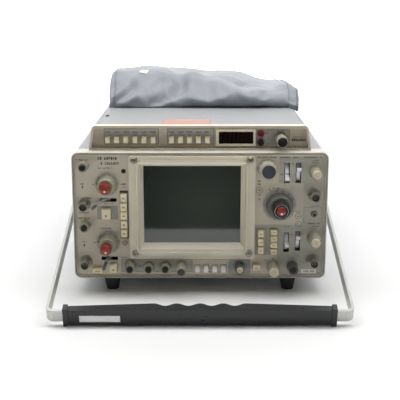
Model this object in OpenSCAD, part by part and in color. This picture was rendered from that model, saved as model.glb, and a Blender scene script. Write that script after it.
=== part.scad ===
// Portable two-channel oscilloscope with a top-mounted counter unit, a bail
// handle and a soft accessory pouch.  Millimetres, Z up, front towards -Y.
// Every depth given to slab(), rod(), block() and turned() is counted from the
// front plane of the cast rim: positive to the rear, negative towards the user.

/* [Case] */
// Width of the cast front frame
case_w = 292; // [284:1:310]
// Height of the cast front frame
case_h = 149.5; // [146:0.5:160]
// Underside of the case above the table
foot_h = 18.6; // [14:0.2:26]
// Depth from the front rim to the rear panel's inner face
case_d = 436; // [420:1:470]
// Wall of the wrap-around cabinet
shell_t = 1.6; // [1.2:0.1:2.4]
// Depth of the cast front frame
casting_d = 24; // [20:1:30]

/* [Top unit] */
// Height of the top unit above the case
top_h = 28.2; // [27:0.1:32]
// Half width of the top unit at its foot
top_half_w = 127; // [122:1:132]
// Set-back of the top unit from the front rim
top_back = 12; // [8:1:16]
// Depth of the top unit's frame in front of its panel
top_recess = 10; // [7:1:11]

/* [Handle] */
// Distance from the pivot to the front face of the grip
handle_reach = 280; // [270:1:290]
// Height of the pivot above the table
pivot_z = 83; // [78:1:90]
// Pivot behind the front rim
pivot_y = 165; // [150:1:180]
// Inner face of the handle's arms from the centre
arm_x = 160.3; // [159:0.1:166]
// Thickness of the handle's strap
strap_t = 3.5; // [2.5:0.1:4]
// Width of the handle's strap
strap_w = 13.5; // [10:0.5:14]

/* [Pouch] */
// Front edge of the pouch behind the front rim
pouch_front = 150; // [120:5:170]
// Rear edge of the pouch behind the front rim
pouch_rear = 425; // [380:5:430]

/* [Controls] */
// Radius of a control's shaft
shaft_r = 3; // [2.5:0.1:3.2]
// Radial clearance of every shaft in its bearing
run = 0.08; // [0.02:0.01:0.1]
// Clearance round a push button in its hole
button_gap = 0.4; // [0.2:0.05:0.6]

/* [Hidden] */
$fn = 48;

// Case sizes worked out from the driving sizes
case_z = foot_h + case_h / 2;
case_top = foot_h + case_h;
rim = 3.8;
panel_w = case_w - 2 * rim - 0.4;
panel_h = case_h - 2 * rim - 0.4;
panel_y = 2;
panel_t = 2;
panel_back = panel_y + panel_t;
rear_t = 2.5;
rear_foot_d = 23;
step = 1;

// Handle attitude: the flared grip ends rest on the table
grip_h = 19;
flare = 1.6;
flare_half = grip_h / 2 + flare;
// The strap's front face behind the grip's front face
strap_set = 2.4;
handle_tilt = asin(pivot_z / sqrt(handle_reach * handle_reach + flare_half * flare_half))
    - atan(flare_half / handle_reach);
grip_front = handle_reach * cos(handle_tilt) - flare_half * sin(handle_tilt) - pivot_y;
grip_nose = handle_reach * cos(handle_tilt) + flare_half * sin(handle_tilt) - pivot_y;

// The whole object, rear feet to grip, is centred on the origin along Y
rear_end = case_d + rear_t + rear_foot_d;
front_y = (max(grip_front, grip_nose) - rear_end) / 2;

// Screen and bezel, centre and sizes
crt_x = -9;
crt_z = 103.6;
bezel_w = 143.6;
bezel_h = 120.8;
bezel_nose = -5;
glass_w = 111;
glass_h = 90.4;
glass_z = 106.6;
collar_w = 124;
collar_h = 104;
pocket_w = 118;
pocket_h = 98;
screw_x = 65.5;
screw_z = 55;

// Controls on the main panel as [x, z]
ch1_position = [-132, 152.5];
ch2_position = [-132, 83];
ch1_volts = [-106, 131];
ch2_volts = [-106, 62];
intensity = [-80.8, 34];
focus = [-59.5, 32.3];
scale_light = [-40.2, 32.6];
trace_rotation = [-21.6, 33.7];
storage_level = [46, 32.7];
delay_time = [77.2, 148];
delayed_level = [131, 145];
trigger_level = [131, 68];
holdoff = [84.8, 32.5];
horizontal_position = [107.3, 33.3];
time_div = [91, 106];
delta_time = [92.7, 180];
bnc_at = [[-132.3, 107.3], [-132.3, 38.4], [130.4, 118.4], [131.2, 40.2]];
jack_at = [[69.5, 186.2], [69.5, 176]];
small_pots = [ch1_position, ch2_position, intensity, focus, scale_light, trace_rotation,
    storage_level, delay_time, delayed_level, trigger_level, holdoff, horizontal_position];

// Slots and push buttons
coupling_at = [[-105, 112.2], [-105, 42.3]];
coupling_half = 9.5;
lever_at = [[98.9, 143.8], [111.9, 143.8], [100, 62], [112.8, 63.4]];
lever_half = 11.8;
lever_pivot = 17;
lever_w = 4.8;
counter_z = 179.6;
counter_size = [5.4, 7.4];
function row(x0, pitch, n, z) = [for (i = [0:n - 1]) [x0 + i * pitch, z]];
function column(x, z0, pitch, n) = [for (i = [0:n - 1]) [x, z0 - i * pitch]];
counter_function = row(-105.7, 10.44, 6, counter_z);
counter_range = row(-32.6, 10.25, 5, counter_z);
display_mode = column(-87.2, 115.5, 10.4, 5);
display_mode_size = [7.6, 9.2];
storage_row = row(-3, 10.03, 4, 31);
storage_size = [5.4, 8];
sweep_mode = column(70.2, 73.2, 10, 3);
sweep_mode_size = [6.6, 8.2];
trigger_mode = column(85.2, 75, 7.8, 4);
trigger_mode_size = [7.2, 6.4];
invert_at = [-107.4, 96.9];
invert_size = [10.2, 12.4];
bandwidth_at = [-118.9, 28.9];
bandwidth_size = [11.6, 5.2];
trigger_view_at = [-100.4, 31.6];
trigger_view_size = [8.2, 10.4];
beam_find_at = [65.4, 32.6];
beam_find_size = [8.2, 6];

// Fan in the rear panel
fan_x = -58;
fan_z = 92;
fan_r = 38;
inlet_x = 92;
inlet_z = 52;

// ---- helpers -------------------------------------------------------------

// Extrudes an outline drawn in X and Z between two depths
module slab(y0, y1) {
    translate([0, front_y + y1, 0]) rotate([90, 0, 0]) linear_extrude(y1 - y0) children();
}

// A round rod along Y
module rod(at, r, y0, y1) {
    translate([at[0], front_y + y1, at[1]]) rotate([90, 0, 0]) cylinder(r = r, h = y1 - y0);
}

// A box given by its limits
module block(x0, x1, y0, y1, z0, z1) {
    translate([x0, front_y + y0, z0]) cube([x1 - x0, y1 - y0, z1 - z0]);
}

// A turned piece about Y; the profile is [radius, distance forward of the rim]
module turned(at, profile) {
    translate([at[0], front_y, at[1]]) rotate([90, 0, 0]) rotate_extrude() polygon(profile);
}

// A rectangle with round corners
module round_rect(w, h, r, at = [0, 0]) {
    translate(at) {
        square([w - 2 * r, h], center = true);
        square([w, h - 2 * r], center = true);
        for (sx = [-1, 1], sz = [-1, 1])
            translate([sx * (w / 2 - r), sz * (h / 2 - r)]) circle(r);
    }
}

function arc(c, r, a0, a1, n = 6) =
    [for (i = [0:n]) [c[0] + r * cos(a0 + (a1 - a0) * i / n), c[1] + r * sin(a0 + (a1 - a0) * i / n)]];

// Outline of the top unit: upright trapezium with round top corners
module top_outline(foot, head, z0, z1, r) {
    polygon(concat([[foot, z0]], arc([head - r, z1 - r], r, 0, 90),
        arc([r - head, z1 - r], r, 90, 180), [[-foot, z0]]));
}

// ---- case ----------------------------------------------------------------

module front_casting() {
    color([0.86, 0.84, 0.77]) difference() {
        slab(0, casting_d) round_rect(case_w, case_h, 8, [0, case_z]);
        slab(-1, panel_back) round_rect(panel_w + 0.4, panel_h + 0.4, 5, [0, case_z]);
        slab(panel_back - 0.1, 7.1) round_rect(panel_w - 5, panel_h - 3, 4, [0, case_z]);
        slab(7, casting_d + 1) round_rect(case_w - 6, case_h - 6, 5, [0, case_z]);
    }
}

module button_holes(places, size, y0, y1) {
    for (p = places)
        block(p[0] - size[0] / 2 - button_gap, p[0] + size[0] / 2 + button_gap, y0, y1,
            p[1] - size[1] / 2 - button_gap, p[1] + size[1] / 2 + button_gap);
}

module front_panel() {
    y0 = panel_y - 1;
    y1 = panel_back + 1;
    color([0.50, 0.48, 0.43]) difference() {
        slab(panel_y, panel_back) round_rect(panel_w, panel_h, 5, [0, case_z]);
        slab(y0, y1) round_rect(collar_w + 0.2, collar_h + 0.2, 3, [crt_x, crt_z]);
        for (p = small_pots) rod(p, shaft_r + 0.5, y0, y1);
        for (p = [ch1_volts, ch2_volts]) rod(p, 4.9, y0, y1);
        rod(time_div, 6.9, y0, y1);
        for (p = bnc_at) rod(p, 4.83, y0, y1);
        for (p = coupling_at)
            block(p[0] - coupling_half, p[0] + coupling_half, y0, y1, p[1] - 2.2, p[1] + 2.2);
        for (p = lever_at)
            block(p[0] - 3.1, p[0] + 3.1, y0, y1, p[1] - lever_half, p[1] + lever_half);
        button_holes(display_mode, display_mode_size, y0, y1);
        button_holes(storage_row, storage_size, y0, y1);
        button_holes(sweep_mode, sweep_mode_size, y0, y1);
        button_holes(trigger_mode, trigger_mode_size, y0, y1);
        button_holes([invert_at], invert_size, y0, y1);
        button_holes([bandwidth_at], bandwidth_size, y0, y1);
        button_holes([trigger_view_at], trigger_view_size, y0, y1);
        button_holes([beam_find_at], beam_find_size, y0, y1);
        for (sx = [-1, 1], sz = [-1, 1])
            rod([crt_x + sx * screw_x, crt_z + sz * screw_z], 1.6, y0, y1);
    }
}

module cabinet_profile(inset) {
    round_rect(case_w - 2 * step - 2 * inset, case_h - 2 * step - 2 * inset,
        7 - inset, [0, case_z]);
    difference() {
        top_outline(top_half_w - 2 - inset, 120 - inset, case_top - 12,
            case_top + top_h - 1 - inset, 5);
        translate([-case_w, case_top - 13]) square([2 * case_w, 1.2]);
    }
}

module cabinet_shell() {
    color([0.74, 0.76, 0.78]) difference() {
        slab(casting_d, case_d) cabinet_profile(0);
        slab(casting_d - 1, case_d + 1) cabinet_profile(shell_t);
        for (side = [-1, 1], i = [0:11], z = [52, 118])
            block(side > 0 ? 140 : -150, side > 0 ? 150 : -140,
                300 + i * 8, 303 + i * 8, z, z + 24);
        block(-115.6, -111.2, 88, 103, case_top + top_h - 6, case_top + top_h + 2);
    }
}

module rear_panel() {
    color([0.62, 0.63, 0.62]) {
        difference() {
            slab(case_d, case_d + rear_t) cabinet_profile(0);
            rod([fan_x, fan_z], fan_r, case_d - 1, case_d + rear_t + 1);
            block(inlet_x - 14, inlet_x + 14, case_d - 1, case_d + rear_t + 1,
                inlet_z - 11, inlet_z + 11);
            for (sx = [-1, 1], z = [40, 150])
                rod([sx * 124, z], 2.1, case_d - 1, case_d + rear_t + 1);
        }
        for (r = [10, 19, 28])
            slab(case_d + 0.5, case_d + 2) translate([fan_x, fan_z]) difference() {
                circle(r + 1);
                circle(r - 1);
            }
        slab(case_d + 0.5, case_d + 2) translate([fan_x, fan_z]) {
            difference() {
                for (a = [45, 135])
                    rotate(a) square([2 * fan_r + 1, 2], center = true);
                circle(9.5);
            }
        }
    }
}

module rear_feet() {
    y0 = case_d + rear_t;
    color([0.08, 0.08, 0.09]) for (sx = [-1, 1], z = [40, 150]) {
        rod([sx * 124, z], 8, y0, y0 + rear_foot_d - 4);
        rod([sx * 124, z], 11, y0 + rear_foot_d - 4, y0 + rear_foot_d);
        rod([sx * 124, z], 2, case_d, y0);
    }
}

module bottom_feet() {
    color([0.07, 0.07, 0.08]) for (sx = [-1, 1]) {
        translate([sx * 104, front_y + 21, 0]) cylinder(r1 = 7, r2 = 11, h = foot_h);
        translate([sx * 104, front_y + 398, 0])
            cylinder(r1 = 7, r2 = 11, h = foot_h + step);
    }
}

// ---- screen --------------------------------------------------------------

// Opening that narrows from the bezel's nose to the glass
module bezel_mouth() {
    x0 = crt_x - 59.5;
    x1 = crt_x + 59.5;
    z0 = 55.5;
    z1 = 156.5;
    g0 = crt_x - glass_w / 2;
    g1 = crt_x + glass_w / 2;
    intersection() {
        translate([0, front_y, 0]) linear_extrude(200)
            polygon([[x0, bezel_nose], [x1, bezel_nose], [g1, 3], [g0, 3]]);
        translate([-100, front_y, 0]) rotate([90, 0, 90]) linear_extrude(200)
            polygon([[bezel_nose, z0], [bezel_nose, z1], [3, glass_z + glass_h / 2],
                [3, glass_z - glass_h / 2]]);
    }
}

module crt_bezel() {
    color([0.74, 0.71, 0.64]) difference() {
        union() {
            slab(bezel_nose + 2, panel_y) round_rect(bezel_w, bezel_h, 3, [crt_x, crt_z]);
            slab(bezel_nose, bezel_nose + 2)
                round_rect(bezel_w - 24, bezel_h - 10, 3, [crt_x, crt_z]);
            slab(panel_y - 0.1, 8) round_rect(collar_w, collar_h, 3, [crt_x, crt_z]);
        }
        bezel_mouth();
        slab(2.9, 9) round_rect(pocket_w + 0.2, pocket_h + 0.2, 2, [crt_x, crt_z]);
        for (sx = [-1, 1], sz = [-1, 1]) {
            rod([crt_x + sx * screw_x, crt_z + sz * screw_z], 1.6, bezel_nose - 1, 5);
        }
    }
}

module crt_filter() {
    color([0.18, 0.21, 0.19, 0.9])
        slab(2.9, 5) round_rect(pocket_w, pocket_h, 2, [crt_x, crt_z]);
}

module crt_tube() {
    color([0.30, 0.34, 0.33]) {
        slab(5, 14) round_rect(116, 95, 6, [crt_x, crt_z]);
        hull() {
            slab(14, 18) translate([crt_x, crt_z]) square([112, 92], center = true);
            rod([crt_x, crt_z], 18, 168, 170);
        }
        rod([crt_x, crt_z], 18, 168, 280);
        rod([crt_x, crt_z], 20, 280, 296);
    }
}

module bezel_screws() {
    color([0.70, 0.68, 0.60]) for (sx = [-1, 1], sz = [-1, 1]) {
        at = [crt_x + sx * screw_x, crt_z + sz * screw_z];
        difference() {
            rod(at, 3.3, bezel_nose - 0.2, bezel_nose + 2);
            block(at[0] - 4, at[0] + 4, bezel_nose - 1, bezel_nose + 0.8,
                at[1] - 0.5, at[1] + 0.5);
        }
        rod(at, 1.5, bezel_nose + 1.9, 9);
    }
}

// ---- top unit ------------------------------------------------------------

module top_bezel() {
    z1 = case_top + top_h;
    face = top_back + top_recess;
    y1 = casting_d + 1;
    color([0.60, 0.57, 0.50]) difference() {
        slab(top_back, casting_d) top_outline(top_half_w, 123.5, case_top, z1, 5);
        slab(top_back - 1, face) top_outline(top_half_w - 2.8, 121, case_top + 1.4, z1 - 2.8, 3.5);
        button_holes(counter_function, counter_size, face - 1, y1);
        button_holes(counter_range, counter_size, face - 1, y1);
        block(21.4, 60.9, face - 1, y1, 175.2, 188.8);
        for (p = jack_at) rod(p, 3.05, face - 1, y1);
        rod(delta_time, shaft_r + 0.5, face - 1, y1);
    }
}

module display_module() {
    face = top_back + top_recess;
    color([0.80, 0.76, 0.62]) {
        difference() {
            block(18.6, 63.7, face - 3, face, 172.6, 191.5);
            block(21.7, 60.6, face - 4, face + 1, 175.5, 188.5);
        }
        block(21.6, 60.7, face + 0.5, face + 12, 175.4, 188.6);
        block(21.7, 22.4, face - 1, face + 1, 175.5, 188.5);
        block(59.9, 60.6, face - 1, face + 1, 175.5, 188.5);
    }
}

module banana_jacks() {
    face = top_back + top_recess;
    for (i = [0, 1]) color(i == 0 ? "darkred" : "black") difference() {
        union() {
            rod(jack_at[i], 3.7, face - 7, face);
            rod(jack_at[i], 3, face, face + 14);
        }
        rod(jack_at[i], 2, face - 8, face + 12);
    }
}

// ---- connectors and inner parts ------------------------------------------

module bnc_connectors() {
    color([0.62, 0.61, 0.55]) for (p = bnc_at) {
        difference() {
            union() {
                rod(p, 4.8, -15, 14);
                rod(p, 6.4, -1.5, panel_y);
                rod(p, 6.4, panel_back, panel_back + 2.5);
            }
            rod(p, 4, -16, -5);
        }
        difference() {
            rod(p, 2.3, -13, -5);
            rod(p, 0.7, -14, -6);
        }
    }
}

module control_body(at, r, y1, bore) {
    difference() {
        union() {
            rod(at, r, 7.5, y1);
            rod(at, bore + 2, panel_back, 7.5);
        }
        rod(at, bore + run, panel_back - 1, y1 - 4);
    }
}

module control_bodies() {
    face = casting_d;
    color([0.55, 0.50, 0.40]) {
        for (p = small_pots) control_body(p, 7.6, 22, shaft_r);
        for (p = [ch1_volts, ch2_volts]) control_body(p, 13, 60, 4.4);
        control_body(time_div, 15.5, 90, 6.4);
        difference() {
            rod(delta_time, 6.5, face, face + 16);
            rod(delta_time, shaft_r + run, face - 1, face + 13);
        }
    }
    color([0.20, 0.22, 0.20]) {
        block(-91.6, -82.8, 13, 42, 67, 123);
        block(-7, 31, 13, 40, 26, 36);
        block(66, 74.4, 13, 40, 48, 78);
        block(81, 89.4, 13, 40, 47, 79);
        block(-112, -103, 13, 36, 91, 103);
        block(-123, -115, 13, 34, 26, 32);
        block(-104, -96.6, 13, 34, 26, 37);
        block(61.6, 69.2, 13, 34, 29, 36);
        block(-109, -50, 38, 60, 174, 185);
        block(-36, 12, 38, 60, 174, 185);
    }
}

module circuit_boards() {
    board_end = case_d - 0.02;
    color([0.15, 0.38, 0.22]) {
        block(-138.6, -137, casting_d, board_end, 34, 154);
        block(137, 138.6, casting_d, board_end, 34, 154);
        block(-130, 130, 100, board_end, 26, 27.6);
        block(-112, 112, 62, board_end, 187, 188.6);
    }
    color([0.85, 0.75, 0.45]) for (i = [0:5], sx = [-1, 1])
        translate([sx * 112, front_y + 130 + i * 34, 27.6]) cylinder(r = 7, h = 30);
}

module power_transformer() {
    color([0.35, 0.33, 0.30]) {
        block(30, 96, 300, 372, 27.6, 92);
        block(40, 86, 290, 382, 40, 80);
    }
}

module fan_housing() {
    color([0.15, 0.15, 0.16]) difference() {
        block(fan_x - 41, fan_x + 41, case_d - 26, case_d, fan_z - 41, fan_z + 41);
        rod([fan_x, fan_z], fan_r, case_d - 27, case_d + 1);
    }
    color([0.25, 0.25, 0.27]) {
        block(fan_x - 40, fan_x + 40, case_d - 26, case_d - 24, fan_z - 2, fan_z + 2);
        rod([fan_x, fan_z], 2, case_d - 25, case_d - 5);
    }
}

module fan_rotor() {
    color([0.10, 0.10, 0.11]) difference() {
        union() {
            rod([fan_x, fan_z], 14, case_d - 20, case_d - 5);
            for (i = [0:6])
                translate([fan_x, front_y + case_d - 12.5, fan_z]) rotate([0, i * 360 / 7, 0])
                    translate([23, 0, 0]) rotate([32, 0, 0])
                        cube([24, 1.6, 14], center = true);
        }
        rod([fan_x, fan_z], 2 + run, case_d - 21, case_d - 4.9);
    }
}

module power_inlet() {
    color([0.08, 0.08, 0.08]) {
        difference() {
            union() {
                block(inlet_x - 13.8, inlet_x + 13.8, case_d - 16, case_d + rear_t,
                    inlet_z - 10.8, inlet_z + 10.8);
                block(inlet_x - 17, inlet_x + 17, case_d + rear_t, case_d + rear_t + 2,
                    inlet_z - 14, inlet_z + 14);
            }
            block(inlet_x - 12, inlet_x + 12, case_d - 13.5, case_d + rear_t + 3,
                inlet_z - 9, inlet_z + 9);
        }
        for (p = [[-6, -2], [6, -2], [0, 4]])
            block(inlet_x + p[0] - 1, inlet_x + p[0] + 1, case_d - 14, case_d - 4,
                inlet_z + p[1] - 2.5, inlet_z + p[1] + 2.5);
    }
}

// ---- handle --------------------------------------------------------------

module handle_hubs() {
    side = case_w / 2 - step;
    color([0.30, 0.30, 0.31]) for (sx = [-1, 1])
        translate([sx * side, front_y + pivot_y, pivot_z]) rotate([0, sx * 90, 0]) {
            cylinder(r = 20, h = arm_x - side - 3);
            cylinder(r = 15, h = arm_x - side - 0.6);
            cylinder(r = 5, h = arm_x - side + strap_t + 0.4);
            translate([0, 0, arm_x - side + strap_t + 0.4]) cylinder(r = 9, h = 2);
        }
}

module handle_place() {
    translate([0, front_y + pivot_y, pivot_z]) rotate([handle_tilt, 0, 0]) children();
}

// The strap seen square to its plane: two arms, two bends, one cross run
module handle_bar() {
    outer = arm_x + strap_t;
    bend = 9;
    front = handle_reach - strap_set;
    color([0.86, 0.85, 0.82]) handle_place() difference() {
        union() {
            translate([0, 0, -strap_w / 2]) linear_extrude(strap_w) difference() {
                union() {
                    translate([-outer, bend - front]) square([2 * outer, front - bend]);
                    translate([bend - outer, -front]) square([2 * (outer - bend), 2 * bend]);
                    for (sx = [-1, 1]) translate([sx * (outer - bend), bend - front]) circle(bend);
                }
                translate([-arm_x, bend - front]) square([2 * arm_x, front]);
                translate([bend - outer, strap_t - front])
                    square([2 * (outer - bend), 2 * bend]);
                for (sx = [-1, 1])
                    translate([sx * (outer - bend), bend - front]) circle(bend - strap_t);
            }
            for (sx = [-1, 1])
                translate([sx * arm_x, 0, 0]) rotate([0, sx * 90, 0]) cylinder(r = 14, h = strap_t);
        }
        for (sx = [-1, 1])
            translate([sx * (arm_x - 1), 0, 0]) rotate([0, sx * 90, 0])
                cylinder(r = 5 + run, h = strap_t + 2);
    }
}

grip_half = 144.8;
grip_depth = 7.8;
finger_half = 49.2;
finger_pitch = 24.6;
function finger_depth(x) = 10.6 + 2.2 * cos(360 * x / finger_pitch);

module handle_grip() {
    fingers = [for (i = [0:48]) let (x = finger_half * (1 - i / 24)) [x, finger_depth(x)]];
    outline = concat([[-grip_half, 0], [grip_half, 0], [grip_half, grip_depth]], fingers,
        [[-grip_half, grip_depth]]);
    color([0.22, 0.22, 0.23]) handle_place() translate([0, -handle_reach, 0]) difference() {
        union() {
            translate([0, 0, -grip_h / 2]) linear_extrude(grip_h) polygon(outline);
            for (sx = [-1, 1]) translate([sx * (grip_half - 2.5), grip_depth / 2, 0])
                cube([5, grip_depth + 2, 2 * flare_half], center = true);
        }
        translate([-200, strap_set - 0.1, -strap_w / 2 - 0.1])
            cube([400, strap_t + 0.2, strap_w + 0.2]);
    }
}

// ---- pouch ---------------------------------------------------------------

// Side view cut by front view: a soft wedge, higher on the left
module pouch() {
    z0 = case_top + top_h - 1;
    color([0.60, 0.64, 0.69]) intersection() {
        translate([-140, front_y, 0]) rotate([90, 0, 90]) linear_extrude(280)
            polygon([[pouch_front, z0], [pouch_front + 4, z0 + 12], [pouch_front + 28, z0 + 34],
                [pouch_front + 60, z0 + 46], [pouch_front + 110, z0 + 44], [pouch_rear - 30, z0 + 30],
                [pouch_rear, z0 + 18], [pouch_rear, z0]]);
        slab(pouch_front - 5, pouch_rear + 5)
            polygon([[-122, z0], [-120, z0 + 34], [-112, z0 + 44], [-70, z0 + 46], [0, z0 + 40],
                [110, z0 + 32], [124, z0 + 22], [128, z0]]);
    }
}

// ---- knobs, levers and buttons -------------------------------------------

// A knob with its shaft; depths are forward of the rim
module knob(at, r, nose, face_r) {
    turned(at, [[0, -16], [shaft_r, -16], [shaft_r, -1], [r, -1], [r, nose - 1.5],
        [face_r + 0.3, nose - 0.4], [face_r, nose], [0, nose]]);
}

module small_knob(at, nose) {
    color([0.53, 0.52, 0.45]) knob(at, 5.6, nose, 4);
}

module ch1_position_knob() small_knob(ch1_position, 15);
module ch2_position_knob() small_knob(ch2_position, 17);
module intensity_knob() small_knob(intensity, 18);
module focus_knob() small_knob(focus, 13);
module scale_light_knob() small_knob(scale_light, 13.5);
module trace_rotation_knob() small_knob(trace_rotation, 24);
module storage_level_knob() color([0.35, 0.37, 0.38]) knob(storage_level, 5.8, 15, 3.4);
module delay_dial() color([0.53, 0.52, 0.45]) knob(delay_time, 10.4, 14, 8);
module delayed_level_knob() color([0.60, 0.58, 0.48]) knob(delayed_level, 7, 16, 5.4);
module trigger_level_knob() color([0.60, 0.58, 0.48]) knob(trigger_level, 7.5, 24, 5.4);
module horizontal_position_knob() color([0.30, 0.30, 0.29]) knob(horizontal_position, 6.4, 16, 4);

module holdoff_knob() {
    color([0.60, 0.58, 0.48]) knob(holdoff, 7.2, 22, 5.4);
}

module delta_time_knob() {
    f = -(top_back + top_recess);
    color([0.53, 0.52, 0.45]) turned(delta_time, [[0, f - 14], [shaft_r, f - 14],
        [shaft_r, f + 0.8], [7.2, f + 0.8], [7.2, f + 3], [6.2, f + 4], [5.9, f + 21],
        [5.4, f + 22], [0, f + 22]]);
}

// Stepped switch knob: skirt, body and a bored shaft for the variable control
module volts_knob(at) {
    color([0.50, 0.50, 0.44]) turned(at, [[2 + run, -40], [4.4, -40], [4.4, -1], [13.4, -1],
        [13.4, 0.6], [10.6, 1.6], [9.4, 15], [8.8, 15.8], [2 + run, 15.8]]);
}

module red_knob(at, r, base, nose, stem) {
    color([0.66, 0.18, 0.15]) turned(at, [[0, -stem], [2, -stem], [2, base], [r, base],
        [r, nose - 1], [r - 1, nose], [0, nose]]);
}

module ch1_volts_knob() volts_knob(ch1_volts);
module ch2_volts_knob() volts_knob(ch2_volts);
module ch1_variable_knob() red_knob(ch1_volts, 6.8, 16.2, 26, 44);
module ch2_variable_knob() red_knob(ch2_volts, 6.8, 22.2, 32, 44);

module time_skirt_knob() {
    color([0.45, 0.45, 0.42]) turned(time_div, [[4.4 + run, -60], [6.4, -60], [6.4, -1],
        [18.6, -1], [18.6, 0.8], [15.2, 2], [13.4, 11.4], [12.6, 12], [4.4 + run, 12]]);
}

module time_ring_knob() {
    color([0.12, 0.12, 0.12]) turned(time_div, [[2 + run, -70], [4.4, -70], [4.4, 12.4],
        [9.8, 12.4], [9.3, 26.4], [8.8, 27], [6.3, 27], [6.3, 21], [2 + run, 21]]);
}

module time_variable_knob() red_knob(time_div, 5.9, 21.5, 29, 76);

// Lever that swings sideways in a flat slot, its tip drooping towards the user
module coupling_lever(at, swing) {
    pivot = [at[0], front_y + 9, at[1]];
    color([0.45, 0.47, 0.49]) translate(pivot) rotate([0, 0, swing]) {
        translate([-1.6, 0, 0]) rotate([90, 0, 90]) linear_extrude(3.2)
            polygon([[2, -1.2], [2, 1.2], [-9, 1.2], [-17, -1.2], [-26, -6.2], [-26, -8.6],
                [-16, -4], [-8, -1.2]]);
        translate([0, 0, -3]) cylinder(r = 2.6, h = 6);
    }
}

module ch1_coupling_lever() coupling_lever(coupling_at[0], -42);
module ch2_coupling_lever() coupling_lever(coupling_at[1], -12);

// Lever on a drum that turns behind its slot; the tip stands out of the drum
module drum_lever(at, tilt) {
    drum_r = 13.2;
    back = [[0, -3.4], [2.4, -2.4], [3.4, 0], [2.4, 2.4], [0, 3.4]];
    tip = [[-21, 1.8], [-22.6, 0.8], [-22.6, -0.6], [-21, -2.2]];
    translate([at[0] - lever_w / 2, front_y + lever_pivot, at[1]])
        rotate([tilt, 0, 0]) rotate([90, 0, 90]) color([0.72, 0.73, 0.75])
            linear_extrude(lever_w) difference() {
                polygon(concat(back, arc([0, 0], drum_r, 135, 168, 5), tip,
                    arc([0, 0], drum_r, 193, 225, 5)));
                circle(1.4);
            }
}

module delayed_slope_lever() drum_lever(lever_at[0], 18);
module delayed_source_lever() drum_lever(lever_at[1], -14);
module trigger_slope_lever() drum_lever(lever_at[2], 8);
module trigger_source_lever() drum_lever(lever_at[3], -14);

// A push button: a square plunger with its front edges eased
module button(at, size, front, back) {
    w = size[0] / 2;
    h = size[1] / 2;
    block(at[0] - w, at[0] + w, front + 0.6, back, at[1] - h, at[1] + h);
    block(at[0] - w + 0.6, at[0] + w - 0.6, front, front + 0.6, at[1] - h + 0.6, at[1] + h - 0.6);
}

module buttons(places, size, front, back) {
    for (p = places) button(p, size, front, back);
}

module counter_function_buttons()
    color([0.86, 0.83, 0.70]) buttons(counter_function, counter_size, 13.5, 32);
module counter_range_buttons()
    color([0.86, 0.83, 0.70]) buttons(counter_range, counter_size, 13.5, 32);
module display_mode_buttons()
    color([0.84, 0.80, 0.64]) buttons(display_mode, display_mode_size, -4.5, 10);
module storage_buttons()
    color([0.92, 0.90, 0.87]) buttons(storage_row, storage_size, -4.5, 10);
module sweep_mode_buttons()
    color([0.84, 0.80, 0.64]) buttons(sweep_mode, sweep_mode_size, -4, 10);
module trigger_mode_buttons()
    color([0.84, 0.80, 0.64]) buttons(trigger_mode, trigger_mode_size, -4, 10);
module invert_button()
    color([0.84, 0.80, 0.64]) button(invert_at, invert_size, -5, 10);
module bandwidth_button()
    color([0.84, 0.80, 0.64]) button(bandwidth_at, bandwidth_size, -4, 10);
module trigger_view_button()
    color([0.84, 0.80, 0.64]) button(trigger_view_at, trigger_view_size, -5, 10);
module beam_find_button()
    color([0.84, 0.80, 0.64]) button(beam_find_at, beam_find_size, -4, 10);

front_casting();
front_panel();
crt_bezel();
crt_filter();
crt_tube();
bezel_screws();
top_bezel();
display_module();
banana_jacks();
bnc_connectors();
control_bodies();
circuit_boards();
power_transformer();
cabinet_shell();
rear_panel();
fan_housing();
fan_rotor();
power_inlet();
rear_feet();
bottom_feet();
handle_hubs();
handle_bar();
handle_grip();
pouch();
ch1_position_knob();
ch2_position_knob();
ch1_volts_knob();
ch1_variable_knob();
ch2_volts_knob();
ch2_variable_knob();
delta_time_knob();
intensity_knob();
focus_knob();
scale_light_knob();
trace_rotation_knob();
storage_level_knob();
delay_dial();
delayed_level_knob();
trigger_level_knob();
holdoff_knob();
horizontal_position_knob();
time_skirt_knob();
time_ring_knob();
time_variable_knob();
ch1_coupling_lever();
ch2_coupling_lever();
delayed_slope_lever();
delayed_source_lever();
trigger_slope_lever();
trigger_source_lever();
counter_function_buttons();
counter_range_buttons();
display_mode_buttons();
storage_buttons();
sweep_mode_buttons();
trigger_mode_buttons();
invert_button();
bandwidth_button();
trigger_view_button();
beam_find_button();
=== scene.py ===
import math
import random

import bpy
import bmesh
from mathutils import Matrix, Vector, noise


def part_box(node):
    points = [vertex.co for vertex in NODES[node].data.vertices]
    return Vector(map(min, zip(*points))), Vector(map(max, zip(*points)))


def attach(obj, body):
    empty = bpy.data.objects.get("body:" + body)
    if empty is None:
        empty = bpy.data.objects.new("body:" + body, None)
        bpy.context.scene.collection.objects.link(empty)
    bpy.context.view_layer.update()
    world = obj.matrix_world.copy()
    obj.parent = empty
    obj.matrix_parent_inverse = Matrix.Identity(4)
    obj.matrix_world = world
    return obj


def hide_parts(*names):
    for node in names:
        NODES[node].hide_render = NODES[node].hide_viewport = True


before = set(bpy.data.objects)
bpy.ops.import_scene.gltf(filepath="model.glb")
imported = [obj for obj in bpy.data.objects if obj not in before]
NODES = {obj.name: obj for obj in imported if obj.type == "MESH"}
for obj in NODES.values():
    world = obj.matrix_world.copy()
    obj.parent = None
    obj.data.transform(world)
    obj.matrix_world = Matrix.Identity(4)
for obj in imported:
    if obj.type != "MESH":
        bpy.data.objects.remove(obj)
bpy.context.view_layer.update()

# Everything is placed from the frame: x and z in millimetres from the object's own axes, and
# "depth" in millimetres behind the front rim (negative is towards the user).
MM = 0.001
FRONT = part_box("front_casting")[0].y
ROOT = "instrument"


def at(x, depth, z):
    return Vector((x * MM, FRONT + depth * MM, z * MM))


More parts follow.
